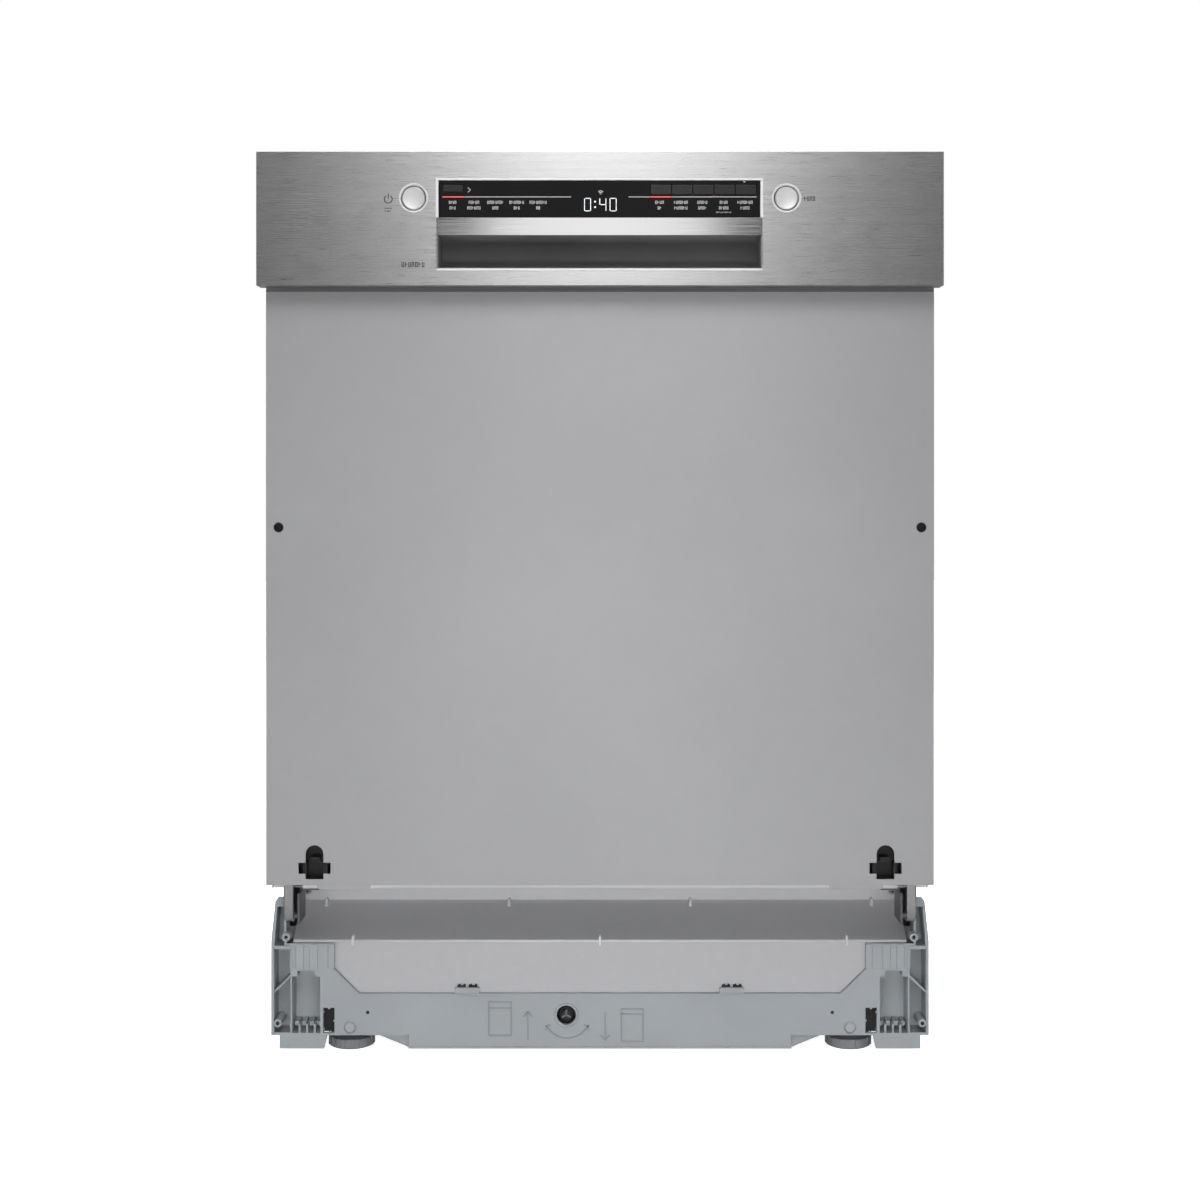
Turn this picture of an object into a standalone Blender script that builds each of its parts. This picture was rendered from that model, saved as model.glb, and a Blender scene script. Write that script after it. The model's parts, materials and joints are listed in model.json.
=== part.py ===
"""Built-in dishwasher, 598 mm wide, with a semi-integrated door.

World frame: +X to the right seen from the front, +Y into the machine, +Z up, floor at z = 0.
Inside the functions y is the depth behind the control panel's face; finish() moves it by FRONT_Y.
"""
import math

import bmesh
import bpy
import numpy as np
from mathutils import Matrix, Vector

# Overall body
WIDTH = 0.598
DEPTH = 0.573
HEIGHT = 0.815
FRONT_Y = -DEPTH / 2
HALF = WIDTH / 2
REAR = DEPTH
GAP = 0.0003
SHEET = 0.0012

# Door, closed, seen from the front
PANEL_TOP = 0.8045
PANEL_BOTTOM = 0.6880
DOOR_HALF = 0.2945
DOOR_FACE = 0.023
DOOR_BACK = 0.073
DOOR_BOTTOM = 0.1615
LINER_BOTTOM = 0.1482
LINER_TOP = 0.8025
HINGE_Y = 0.070
HINGE_Z = 0.1245
ARM_X = 0.2812

# Opening in the control panel and what sits in it
OPENING = (-0.1420, 0.1410, PANEL_TOP - 0.1027, PANEL_TOP - 0.0236)
WINDOW_R = 0.0022
GLASS_BOTTOM = PANEL_TOP - 0.0572
BAR_BOTTOM = PANEL_TOP - 0.0727
BUTTON_X = 0.1622
BUTTON_Z = PANEL_TOP - 0.0405
BUTTON_R = 0.0100
RING_R = 0.0118
KEY_Z = (PANEL_TOP - 0.0374, PANEL_TOP - 0.0287)
KEY_PITCH = 0.0185
KEY_FIRST = 0.0437
LEFT_KEY = (-0.1368, -0.1191, PANEL_TOP - 0.0351, PANEL_TOP - 0.0288)

# Base
BASE_FACE = 0.0755
BEAM_TOP = 0.0520
POD_TOP = 0.0975
CAP_TOP = 0.1390
SHELF_FRONT = 0.0995
SHELF_BACK = 0.1240
SKIRT = 0.0140
SKID = 0.0020
FOOT_X = 0.2285
FOOT_Y = 0.0985
FOOT_R = 0.0214
REAR_FOOT_Y = 0.5100
SHAFT_X = -0.0306
SHAFT_Z = 0.0315
ADJUSTER_Z = 0.0325
ADJUSTER_R = 0.0088
POCKET_BACK = 0.0990

# Wash chamber
TUB_HALF = 0.2838
TUB_FRONT = 0.0775
TUB_REAR = 0.5450
TUB_FLOOR = 0.1480
TUB_ROOF = 0.7840
ARM_CENTRE_Y = 0.3150
WELL_R = 0.0620
LOWER_ARM_R = 0.2090
UPPER_ARM_R = 0.1950

# Lower rack and its wheels
LOWER_RACK_Z = 0.1900
WHEEL_Y = (0.1820, 0.4700)
WHEEL_R = 0.0180
WHEEL_Z = TUB_FLOOR + SHEET + WHEEL_R + GAP

MATERIALS = {
    "fascia_steel": ((0.46, 0.46, 0.47), 1.0, 0.32),
    "door_steel": ((0.52, 0.52, 0.53), 1.0, 0.30),
    "stainless": ((0.60, 0.60, 0.60), 1.0, 0.25),
    "zinc_sheet": ((0.42, 0.42, 0.44), 1.0, 0.40),
    "chrome": ((0.80, 0.80, 0.80), 1.0, 0.10),
    "dark_steel": ((0.09, 0.09, 0.10), 1.0, 0.45),
    "grey_plastic": ((0.34, 0.36, 0.38), 0.0, 0.50),
    "light_plastic": ((0.72, 0.72, 0.70), 0.0, 0.35),
    "black_plastic": ((0.02, 0.02, 0.02), 0.0, 0.40),
    "charcoal_plastic": ((0.05, 0.05, 0.05), 0.0, 0.45),
    "white_plastic": ((0.80, 0.80, 0.78), 0.0, 0.40),
    "blue_plastic": ((0.10, 0.20, 0.38), 0.0, 0.40),
    "display_black": ((0.03, 0.03, 0.03), 0.0, 0.12),
    "black_rubber": ((0.03, 0.03, 0.03), 0.0, 0.80),
    "rack_coating": ((0.40, 0.41, 0.42), 0.0, 0.45),
}


def clear_scene():
    for item in list(bpy.data.objects):
        bpy.data.objects.remove(item, do_unlink=True)


def material(name):
    found = bpy.data.materials.get(name)
    if found:
        return found
    colour, metallic, roughness = MATERIALS[name]
    made = bpy.data.materials.new(name)
    made.use_nodes = True
    shader = made.node_tree.nodes["Principled BSDF"]
    shader.inputs["Base Color"].default_value = (*colour, 1.0)
    shader.inputs["Metallic"].default_value = metallic
    shader.inputs["Roughness"].default_value = roughness
    made.diffuse_color = (*colour, 1.0)
    return made


# ---------------------------------------------------------------- shape helpers

def blocks(add, cut=()):
    """Closed skin around a union of boxes (x0, x1, y0, y1, z0, z1) less the boxes in cut."""
    every = [*add, *cut]
    ticks = [sorted({round(b[k + side], 6) for b in every for side in (0, 1)}) for k in (0, 2, 4)]
    filled = np.zeros([len(t) + 1 for t in ticks], dtype=bool)
    for box, value in [(b, True) for b in add] + [(b, False) for b in cut]:
        span = [slice(t.index(round(box[k], 6)) + 1, t.index(round(box[k + 1], 6)) + 1)
                for t, k in zip(ticks, (0, 2, 4))]
        filled[tuple(span)] = value
    bm = bmesh.new()
    corners = {}

    def corner(index):
        if index not in corners:
            corners[index] = bm.verts.new([ticks[a][index[a]] for a in range(3)])
        return corners[index]

    for axis in range(3):
        changes = np.argwhere(np.diff(filled.astype(np.int8), axis=axis))
        u, v = (axis + 1) % 3, (axis + 2) % 3
        for cell in changes:
            square = []
            for du, dv in ((0, 0), (1, 0), (1, 1), (0, 1)):
                index = [0, 0, 0]
                index[axis] = int(cell[axis])
                index[u] = int(cell[u]) - 1 + du
                index[v] = int(cell[v]) - 1 + dv
                square.append(corner(tuple(index)))
            outward = filled[tuple(cell)]
            bm.faces.new(square if outward else square[::-1])
    bmesh.ops.dissolve_limit(bm, angle_limit=0.001, verts=bm.verts, edges=bm.edges)
    return bm


def prism(outline, axis, low, high):
    """Straight extrusion of a closed outline along axis 'x' (y, z), 'y' (x, z) or 'z' (x, y)."""
    order = {"x": lambda a, b, t: (t, a, b), "y": lambda a, b, t: (a, t, b), "z": lambda a, b, t: (a, b, t)}
    place = order[axis]
    bm = bmesh.new()
    base = bm.faces.new([bm.verts.new(place(a, b, low)) for a, b in outline])
    pushed = bmesh.ops.extrude_face_region(bm, geom=[base])
    moved = [item for item in pushed["geom"] if isinstance(item, bmesh.types.BMVert)]
    bmesh.ops.translate(bm, verts=moved, vec=Vector(place(0, 0, high)) - Vector(place(0, 0, low)))
    bmesh.ops.recalc_face_normals(bm, faces=bm.faces)
    return bm


def arc(cx, cy, radius, start, stop, steps):
    """Points on an arc, angles in degrees."""
    angles = [math.radians(start + (stop - start) * k / steps) for k in range(steps + 1)]
    return [(cx + radius * math.cos(a), cy + radius * math.sin(a)) for a in angles]


def rounded(x0, x1, z0, z1, radius, steps=3):
    """Rectangle with round corners."""
    return (arc(x1 - radius, z1 - radius, radius, 0, 90, steps)
            + arc(x0 + radius, z1 - radius, radius, 90, 180, steps)
            + arc(x0 + radius, z0 + radius, radius, 180, 270, steps)
            + arc(x1 - radius, z0 + radius, radius, 270, 360, steps))


def turned(profile, centre, axis="z", sides=32):
    """Solid of revolution about an axis through centre; profile is (radius, height) pairs."""
    bm = bmesh.new()
    rings = []
    for radius, height in profile:
        if radius == 0:
            rings.append([bm.verts.new((0, 0, height))])
            continue
        angles = [2 * math.pi * k / sides for k in range(sides)]
        rings.append([bm.verts.new((radius * math.cos(a), radius * math.sin(a), height)) for a in angles])
    for lower, upper in zip(rings, rings[1:]):
        for k in range(sides):
            n = (k + 1) % sides
            below = [lower[k % len(lower)], lower[n % len(lower)]]
            above = [upper[n % len(upper)], upper[k % len(upper)]]
            bm.faces.new(list(dict.fromkeys(below + above)))
    bmesh.ops.recalc_face_normals(bm, faces=bm.faces)
    spin = {"z": Matrix(),
            "y": Matrix.Rotation(-math.pi / 2, 4, "X"),
            "x": Matrix.Rotation(math.pi / 2, 4, "Y")}
    bmesh.ops.transform(bm, matrix=Matrix.Translation(centre) @ spin[axis], verts=bm.verts)
    return bm


def rod(centre, axis, radius, low, high, sides=24):
    """Plain cylinder along an axis, from low to high measured from centre."""
    return turned([(0, low), (radius, low), (radius, high), (0, high)], centre, axis, sides)


def joined(operation, first, *others):
    """Boolean of closed shapes: UNION or DIFFERENCE of first with each of the others."""
    def temporary(bm, name):
        mesh = bpy.data.meshes.new(name)
        bm.to_mesh(mesh)
        bm.free()
        item = bpy.data.objects.new(name, mesh)
        bpy.context.collection.objects.link(item)
        return item

    body = temporary(first, "body")
    tools = [temporary(bm, "tool") for bm in others]
    for tool in tools:
        step = body.modifiers.new("cut", "BOOLEAN")
        step.operation = operation
        step.solver = "EXACT"
        step.object = tool
    bpy.context.view_layer.update()
    result = bmesh.new()
    result.from_object(body, bpy.context.evaluated_depsgraph_get())
    for item in [body, *tools]:
        bpy.data.objects.remove(item, do_unlink=True)
    bmesh.ops.remove_doubles(result, verts=result.verts, dist=1e-6)
    bmesh.ops.dissolve_limit(result, angle_limit=0.0005, verts=result.verts, edges=result.edges)
    return result


def cut(first, *others):
    return joined("DIFFERENCE", first, *others)


def fuse(first, *others):
    return joined("UNION", first, *others)


def mirrored(box):
    """The same box on the other side of the middle plane."""
    return (-box[1], -box[0], *box[2:])


def both(box):
    return [box, mirrored(box)]


def finish(name, bm, slot, origin=(0, 0, 0), smooth=False):
    """Makes the named object, with its origin on its joint's axis when it has one."""
    bmesh.ops.translate(bm, verts=bm.verts, vec=-Vector(origin))
    mesh = bpy.data.meshes.new(name)
    bm.to_mesh(mesh)
    bm.free()
    mesh.materials.append(material(slot))
    if smooth:
        mesh.shade_smooth()
        mesh.set_sharp_from_angle(angle=math.radians(35))
    item = bpy.data.objects.new(name, mesh)
    item.location = Vector(origin) + Vector((0, FRONT_Y, 0))
    bpy.context.collection.objects.link(item)
    return item


# ---------------------------------------------------------------- outer body

def side_panels():
    for name, side in (("left_side_panel", -1), ("right_side_panel", 1)):
        box = (HALF - SHEET, HALF, 0.0795, REAR - 0.0018, 0.1470, HEIGHT - GAP - SHEET)
        rear_lip = (HALF - 0.012, HALF - SHEET, REAR - 0.0018 - SHEET, REAR - 0.0018, 0.1470, 0.80)
        pieces = [box, rear_lip] if side > 0 else [mirrored(box), mirrored(rear_lip)]
        finish(name, blocks(pieces), "zinc_sheet")


def rear_panel():
    sheet = (-HALF, HALF, REAR - 0.0015, REAR, 0.1060, HEIGHT - GAP - SHEET)
    notch = (-0.20, 0.20, REAR - 0.0015, REAR, 0.1060, 0.1300)
    finish("rear_panel", blocks([sheet], [notch]), "zinc_sheet")


def top_panel():
    top = HEIGHT
    sheet = (-HALF, HALF, 0.0795, REAR, top - SHEET, top)
    front_lip = (-HALF + 0.003, HALF - 0.003, 0.0795, 0.0795 + SHEET, top - 0.0110, top)
    rear_lip = (-HALF + 0.003, HALF - 0.003, REAR - 0.0045, REAR - 0.0033, top - 0.012, top)
    finish("top_panel", blocks([sheet, front_lip, rear_lip]), "zinc_sheet")


def tub():
    """Wash chamber: a pressed box with a front flange and a round well in its floor."""
    t = SHEET
    outer = (-TUB_HALF - t, TUB_HALF + t, TUB_FRONT, TUB_REAR + t, TUB_FLOOR, TUB_ROOF)
    inner = (-TUB_HALF, TUB_HALF, TUB_FRONT, TUB_REAR, TUB_FLOOR + t, TUB_ROOF - t)
    flange = (-0.2965, 0.2965, TUB_FRONT, TUB_FRONT + t, TUB_FLOOR, TUB_ROOF + 0.0070)
    shell = blocks([outer, flange], [inner])
    well = rod((0, ARM_CENTRE_Y, TUB_FLOOR), "z", WELL_R, -0.005, 0.006, 40)
    finish("tub", cut(shell, well), "stainless")


def tub_seal():
    """Rubber gasket up both sides and over the top of the tub's mouth."""
    y0, y1 = DOOR_BACK + GAP, TUB_FRONT - GAP
    sides = both((0.2842, 0.2930, y0, y1, 0.1600, TUB_ROOF + 0.0040))
    top = (-0.2930, 0.2930, y0, y1, TUB_ROOF, TUB_ROOF + 0.0065)
    relief = (-0.0200, 0.0200, y0, y1, TUB_ROOF + 0.0035, TUB_ROOF + 0.0065)
    finish("tub_seal", blocks([*sides, top], [relief]), "black_rubber")


def water_reservoir():
    slab = rounded(0.14, 0.49, 0.20, 0.70, 0.03)
    plate = prism(slab, "x", -0.2965, -0.2855)
    finish("water_reservoir", plate, "white_plastic")


# ---------------------------------------------------------------- base

def base_tray():
    t = 0.003
    rear = REAR - 0.0030
    front = 0.1305
    outer = (-0.2970, 0.2970, front, rear, SKIRT, 0.1000)
    inner = (-0.2970 + t, 0.2970 - t, front + t, rear - t, SKIRT + t, 0.1000)
    walls = both((0.2970 - t, 0.2970, front, rear, 0.1000, 0.1460))
    skids = [(x0, x1, front, rear, SKID, SKIRT) for x0, x1 in ((-0.2914, -0.2520), (0.2520, 0.2914))]
    shaft_way = (SHAFT_X - 0.007, SHAFT_X + 0.007, front, front + t, SHAFT_Z - 0.007, SHAFT_Z + 0.007)
    inlet_way = (0.1450, 0.1950, rear - t, rear, 0.0400, 0.0900)
    gear_box = (-0.0400, 0.0280, REAR_FOOT_Y - 0.020, REAR_FOOT_Y + 0.020, SKIRT, 0.0680)
    gear_room = (-0.0370, 0.0250, REAR_FOOT_Y - 0.017, REAR_FOOT_Y + 0.017, SKIRT + t, 0.0680)
    shaft_slot = (SHAFT_X - 0.006, SHAFT_X + 0.006, REAR_FOOT_Y - 0.020, REAR_FOOT_Y - 0.017,
                  SHAFT_Z - 0.006, 0.0680)
    shell = blocks([outer, *walls, *skids], [inner])
    shell = fuse(shell, blocks([gear_box], [gear_room, shaft_slot]))
    tools = [blocks([shaft_way]), blocks([inlet_way])]
    stem_hole = rod((0, REAR_FOOT_Y, 0), "z", 0.0085, 0.0, 0.030)
    finish("base_tray", cut(shell, *tools, stem_hole), "grey_plastic")


def carrier_outline():
    """Front view of the plastic base carrier, clockwise from the left cap."""
    left = [(-0.2953, CAP_TOP - 0.0035), (-0.2930, CAP_TOP), (-0.2875, CAP_TOP), (-0.2853, CAP_TOP - 0.0035),
            (-0.2853, POD_TOP), (-0.2418, POD_TOP), (-0.2418, 0.0745), (-0.2186, BEAM_TOP)]
    right = [(-x, z) for x, z in reversed(left)]
    right_low = [(HALF, POD_TOP + 0.002), (HALF, SKIRT), (0.2914, SKIRT), (0.2914, SKID), (0.2509, SKID),
                 (0.2479, SKIRT), (0.1740, SKIRT), (0.1740, SKID)]
    left_low = [(-x, z) for x, z in reversed(right_low)]
    return left + right + right_low + left_low


def keyhole(x):
    """Arched slot with a wider cross bar, as the furniture panel's hooks need it."""
    neck, wide = 0.0079, 0.0142
    low, bar_low, bar_high, crown = 0.1668, 0.1716, 0.1813, 0.1890
    left = [(x - neck, bar_high), (x - wide, bar_high), (x - wide, bar_low), (x - neck, bar_low)]
    foot_edge = [(x - neck, low), (x + neck, low)]
    right = [(x + neck, bar_low), (x + wide, bar_low), (x + wide, bar_high), (x + neck, bar_high)]
    outline = arc(x, crown, neck, 0, 180, 8) + left + foot_edge + right
    return prism(outline, "y", DOOR_FACE - 0.01, DOOR_FACE + 0.01)


def cap_shapes(side):
    """Bodies, hollows and ribs of one side cap: two deep channels, a ledge and a diagonal rib."""
    front, wall = BASE_FACE - 0.0100, BASE_FACE + 0.0030
    back = POCKET_BACK + 0.0015

    def slab(points, y0, y1):
        return prism([(side * x, z) for x, z in points], "y", y0, y1)

    body = slab([(0.2800, SKIRT), (0.2985, SKIRT), (0.2985, 0.0960), (0.2800, 0.0960)], wall, back)
    tower = slab([(0.2860, 0.0950), (0.2985, 0.0950), (0.2950, 0.1330), (0.2860, 0.1330)], wall, back)
    floor = POCKET_BACK
    lower = slab([(0.2815, 0.0165), (0.2962, 0.0165), (0.2962, 0.0925), (0.2815, 0.0925)], front, floor)
    upper = slab([(0.2872, 0.0955), (0.2962, 0.0955), (0.2932, 0.1310), (0.2872, 0.1310)], front, floor)
    rib = slab([(0.2970, 0.0515), (0.2970, 0.0537), (0.2805, 0.0698), (0.2805, 0.0676)], BASE_FACE, back)
    boss = rod((side * 0.2925, 0, 0.0259), "y", 0.0036, 0.0720, POCKET_BACK + 0.0010, 20)
    return [body, tower], [lower, upper], [rib, boss]


def front_carrier():
    """Moulded front of the base: side caps, pods with clip pockets, beam and skids."""
    back = BASE_FACE + 0.0040
    front = BASE_FACE - 0.0100
    plate = prism(carrier_outline(), "y", BASE_FACE, back)
    towers = blocks([*both((0.1960, 0.2600, back - 0.001, 0.1240, 0.0200, 0.0480)),
                     *both((0.2525, 0.2820, back - 0.001, POCKET_BACK + 0.0015, SKIRT, 0.0742)),
                     (-0.1740, 0.1740, back - 0.001, 0.1300, SKIRT, 0.0170)])
    webs = [prism([(side * 0.2050, SKIRT + 0.001), (side * 0.1735, SKID), (side * 0.1735, SKIRT + 0.001)],
                  "y", back - 0.001, back + 0.0035) for side in (-1, 1)]
    pockets = blocks([*both((0.2545, 0.2798, front, POCKET_BACK, 0.0160, 0.0674)),
                      *both((0.2595, 0.2750, front, POCKET_BACK, 0.0660, 0.0724)),
                      *both((0.2414, 0.2518, front, 0.1150, 0.0160, 0.0390))])
    stems = [rod((x, FOOT_Y, 0), "z", 0.0068, 0.0, 0.0600) for x in (-FOOT_X, FOOT_X)]
    adjuster = rod((SHAFT_X, 0, ADJUSTER_Z), "y", ADJUSTER_R, front, back + 0.0100, 32)
    bodies, hollows, ribs = [], [], []
    for side in (-1, 1):
        for group, shapes in zip((bodies, hollows, ribs), cap_shapes(side)):
            group += shapes
    shape = cut(fuse(plate, towers, *webs, *bodies), pockets, adjuster, *hollows, *stems)
    finish("front_carrier", fuse(shape, *ribs), "grey_plastic")


def toe_plate():
    """Folded sheet: upper strip set back, sloping shelf, front panel behind the carrier."""
    face = BASE_FACE + 0.0043
    t = 0.001
    strip_y, fold = 0.1270, 0.0006
    front = [(strip_y, 0.1475), (strip_y, SHELF_BACK), (face, SHELF_FRONT), (face, 0.0490)]
    back = [(face + t, 0.0490), (face + t, SHELF_FRONT - fold), (strip_y + t, SHELF_BACK - fold),
            (strip_y + t, 0.1475)]
    sheet = prism(front + back, "x", -0.2795, 0.2795)
    corners = blocks(both((0.2500, 0.2900, face - 0.001, face + 0.002, 0.0400, SHELF_FRONT - 0.0025)))
    finish("toe_plate", cut(sheet, corners), "zinc_sheet")


def foot(name, x, y, stem_top):
    """Round notched disc on a threaded stem."""
    profile = [(0, 0), (FOOT_R - 0.001, 0), (FOOT_R, 0.001), (FOOT_R, 0.0095), (0.0100, 0.0115),
               (0.0062, 0.0115), (0.0062, stem_top), (0, stem_top)]
    finish(name, turned(profile, (x, y, 0), "z", 28), "grey_plastic", (x, y, 0), smooth=True)


def feet():
    foot("left_foot", -FOOT_X, FOOT_Y, 0.0580)
    foot("right_foot", FOOT_X, FOOT_Y, 0.0580)
    foot("rear_foot", 0.0, REAR_FOOT_Y, 0.0600)


def rear_foot_shaft():
    """Long rod whose head turns in the carrier's round hole, with a worm at the rear foot."""
    profile = [(0, 0.0785), (0.0074, 0.0785), (0.0074, 0.0860), (0.0035, 0.0900), (0.0035, 0.4960),
               (0.0050, 0.4980), (0.0050, 0.5220), (0, 0.5220)]
    body = turned(profile, (SHAFT_X, 0, SHAFT_Z), "y", 16)
    finish("rear_foot_shaft", body, "dark_steel", (SHAFT_X, 0.0785, SHAFT_Z))


def sump():
    profile = [(0, 0.0720), (0.0500, 0.0720), (0.0560, 0.0780), (0.0590, 0.1420), (0.0590, 0.1505),
               (0.0560, 0.1505), (0.0540, 0.0880), (0, 0.0840)]
    bowl = turned(profile, (0, ARM_CENTRE_Y, 0), "z", 28)
    finish("sump", bowl, "grey_plastic", smooth=True)


def filter_cylinder():
    """Round filter with a grip, lifted out after a quarter turn."""
    profile = [(0, 0.0980), (0.0300, 0.0980), (0.0300, 0.1505), (0.0350, 0.1510),
               (0.0350, 0.1535), (0, 0.1535)]
    grip = blocks([(-0.0180, 0.0180, ARM_CENTRE_Y - 0.0280, ARM_CENTRE_Y - 0.0200, 0.1530, 0.1590)])
    body = turned(profile, (0, ARM_CENTRE_Y, 0), "z", 32)
    finish("filter_cylinder", fuse(body, grip), "grey_plastic", (0, ARM_CENTRE_Y, 0.1510))


def salt_cap():
    x, y = -0.1500, 0.3800
    base = TUB_FLOOR + SHEET + GAP
    profile = [(0, base), (0.0300, base), (0.0300, base + 0.0080), (0.0270, base + 0.0095),
               (0, base + 0.0095)]
    grip = blocks([(x - 0.0220, x + 0.0220, y - 0.004, y + 0.004, base + 0.0090, base + 0.0130)])
    finish("salt_cap", fuse(turned(profile, (x, y, 0), "z", 28), grip), "grey_plastic", (x, y, base))


def pumps():
    motor = rod((0.0, ARM_CENTRE_Y, 0.0900), "x", 0.0330, 0.0900, 0.1750, 28)
    volute = rod((0.0, ARM_CENTRE_Y, 0.0900), "x", 0.0400, 0.0640, 0.0901, 28)
    finish("circulation_pump", fuse(volute, motor), "black_plastic", smooth=True)
    drain = rod((-0.0900, ARM_CENTRE_Y, 0.0850), "x", 0.0240, -0.0700, 0.0, 24)
    nozzle = rod((-0.0900, ARM_CENTRE_Y, 0.0850), "x", 0.0120, -0.0010, 0.0260, 20)
    finish("drain_pump", fuse(drain, nozzle), "black_plastic", smooth=True)


def inlet_valve():
    """Water inlet body with a threaded spigot through the base's rear wall."""
    body = blocks([(0.1500, 0.1900, 0.5100, 0.5560, 0.0400, 0.0880)])
    spigot = rod((0.1700, 0, 0.0650), "y", 0.0115, 0.5550, REAR - 0.0020, 24)
    finish("inlet_valve", fuse(body, spigot), "white_plastic")


# ---------------------------------------------------------------- hinges and latch

def hinge_brackets():
    for name, side in (("left_hinge_bracket", -1), ("right_hinge_bracket", 1)):
        plate = (0.2715, 0.2735, 0.0655, 0.1000, HINGE_Z - 0.0070, 0.1450)
        flange = (0.2560, 0.2735, 0.0800, 0.1000, 0.1450, 0.1470)
        pieces = [plate, flange] if side > 0 else [mirrored(plate), mirrored(flange)]
        reach = (0.2725, 0.2862) if side > 0 else (-0.2862, -0.2725)
        pin = rod((0, HINGE_Y, HINGE_Z), "x", 0.0030, *reach, 24)
        finish(name, fuse(blocks(pieces), pin), "zinc_sheet")


def hinge_arms():
    """Flat arm from the door down to the hinge pin, bored for the pin."""
    for name, side in (("left_hinge_arm", -1), ("right_hinge_arm", 1)):
        outline = arc(HINGE_Y, HINGE_Z, 0.0055, 180, 360, 10) + [
            (HINGE_Y + 0.0012, HINGE_Z + 0.0100), (HINGE_Y + 0.0005, 0.3600), (HINGE_Y - 0.0095, 0.3600),
            (HINGE_Y - 0.0055, HINGE_Z + 0.0100)]
        low, high = sorted((side * (ARM_X - 0.0038), side * (ARM_X + 0.0038)))
        hole = rod((0, HINGE_Y, HINGE_Z), "x", 0.00309, low - 0.01, high + 0.01, 24)
        finish(name, cut(prism(outline, "x", low, high), hole), "stainless", (0, HINGE_Y, HINGE_Z))


def latch():
    """Catch case behind the door's top edge and the fixed strike that enters it."""
    case = (-0.0300, 0.0300, 0.0360, 0.0712, 0.7785, 0.8000)
    mouth = (-0.0150, 0.0150, 0.0500, 0.0712, 0.7875, 0.7960)
    finish("door_latch", blocks([case], [mouth]), "black_plastic")
    strike = (-0.0100, 0.0100, 0.0600, 0.1000, 0.7916, 0.7936)
    window = (-0.0055, 0.0055, 0.0640, 0.0700, 0.7916, 0.7936)
    finish("latch_strike", blocks([strike], [window]), "dark_steel")


# ---------------------------------------------------------------- door

def door_outer_panel():
    """Steel sheet with folded edges, side holes and hook slots for a furniture front."""
    t = SHEET
    sheet = (-DOOR_HALF, DOOR_HALF, DOOR_FACE, DOOR_FACE + t, DOOR_BOTTOM, PANEL_BOTTOM - GAP)
    sides = both((DOOR_HALF - t, DOOR_HALF, DOOR_FACE, 0.0580, DOOR_BOTTOM, PANEL_BOTTOM - GAP))
    lip = (-0.2700, 0.2700, DOOR_FACE, 0.0560, DOOR_BOTTOM, DOOR_BOTTOM + t)
    hooks = [prism(rounded(x - 0.0240, x + 0.0240, DOOR_BOTTOM - 0.0035, DOOR_BOTTOM + 0.01, 0.003),
                   "y", DOOR_FACE + 0.0002, DOOR_FACE + t) for x in (-0.2260, 0.2260)]
    shape = fuse(blocks([sheet, *sides, lip]), *hooks)
    holes = [rod((x, 0, 0.4770), "y", 0.0044, 0.0, 0.04, 20) for x in (-0.2834, 0.2834)]
    slots = [keyhole(x) for x in (-0.2517, 0.2517)]
    finish("door_outer_panel", cut(shape, *holes, *slots), "door_steel")


def door_inner_panel():
    """Pressed liner: a tray open to the front, with windows for dispenser and latch."""
    t = SHEET
    back = (-0.2928, 0.2928, DOOR_BACK - t, DOOR_BACK, LINER_BOTTOM + 0.010, LINER_TOP)
    sides = both((0.2916, 0.2928, 0.0300, DOOR_BACK, 0.1700, LINER_TOP))
    top = (-0.2928, 0.2928, 0.0300, DOOR_BACK, LINER_TOP - t, LINER_TOP)
    chin = (-0.2700, 0.2700, DOOR_BACK - t, DOOR_BACK, LINER_BOTTOM, LINER_BOTTOM + 0.010)
    window = (-0.1150, 0.1150, DOOR_BACK - t, DOOR_BACK, 0.4150, 0.5750)
    slot = (-0.0170, 0.0170, DOOR_BACK - t, DOOR_BACK, 0.7870, 0.7965)
    finish("door_inner_panel", blocks([back, *sides, top, chin], [window, slot]), "stainless")


def control_panel():
    """Folded steel front with the display and grip opening and two round button holes."""
    t = 0.0015
    face = (-HALF, HALF, 0.0, t, PANEL_BOTTOM, PANEL_TOP)
    sides = both((HALF - t, HALF, 0.0, 0.0225, PANEL_BOTTOM, PANEL_TOP))
    bottom = (-HALF, HALF, 0.0, 0.0225, PANEL_BOTTOM, PANEL_BOTTOM + t)
    top = (-HALF, HALF, 0.0, 0.0580, PANEL_TOP - t, PANEL_TOP)
    x0, x1, z0, z1 = OPENING
    window = prism(rounded(x0, x1, z0, z1, WINDOW_R), "y", -0.01, 0.01)
    holes = [rod((x, 0, BUTTON_Z), "y", RING_R, -0.01, 0.01, 40) for x in (-BUTTON_X, BUTTON_X)]
    finish("control_panel", cut(blocks([face, *sides, bottom, top]), window, *holes), "fascia_steel")


def insert_frame():
    """Chrome surround of the opening with the cross rib between glass and grip bar."""
    x0, x1, z0, z1 = (OPENING[0] + GAP, OPENING[1] - GAP, OPENING[2] + GAP, OPENING[3] - GAP)
    rim = 0.0014
    outer = prism(rounded(x0, x1, z0, z1, WINDOW_R - GAP), "y", 0.0, 0.0062)
    inner = prism(rounded(x0 + rim, x1 - rim, z0 + rim, z1 - rim, 0.0008), "y", -0.01, 0.03)
    finish("insert_frame", cut(outer, inner), "chrome")


def window_insets():
    """Inner limits of the chrome surround, with the running gap taken off."""
    inset = 0.0014 + 2 * GAP
    return OPENING[0] + inset, OPENING[1] - inset, OPENING[2] + inset, OPENING[3] - inset


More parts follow.
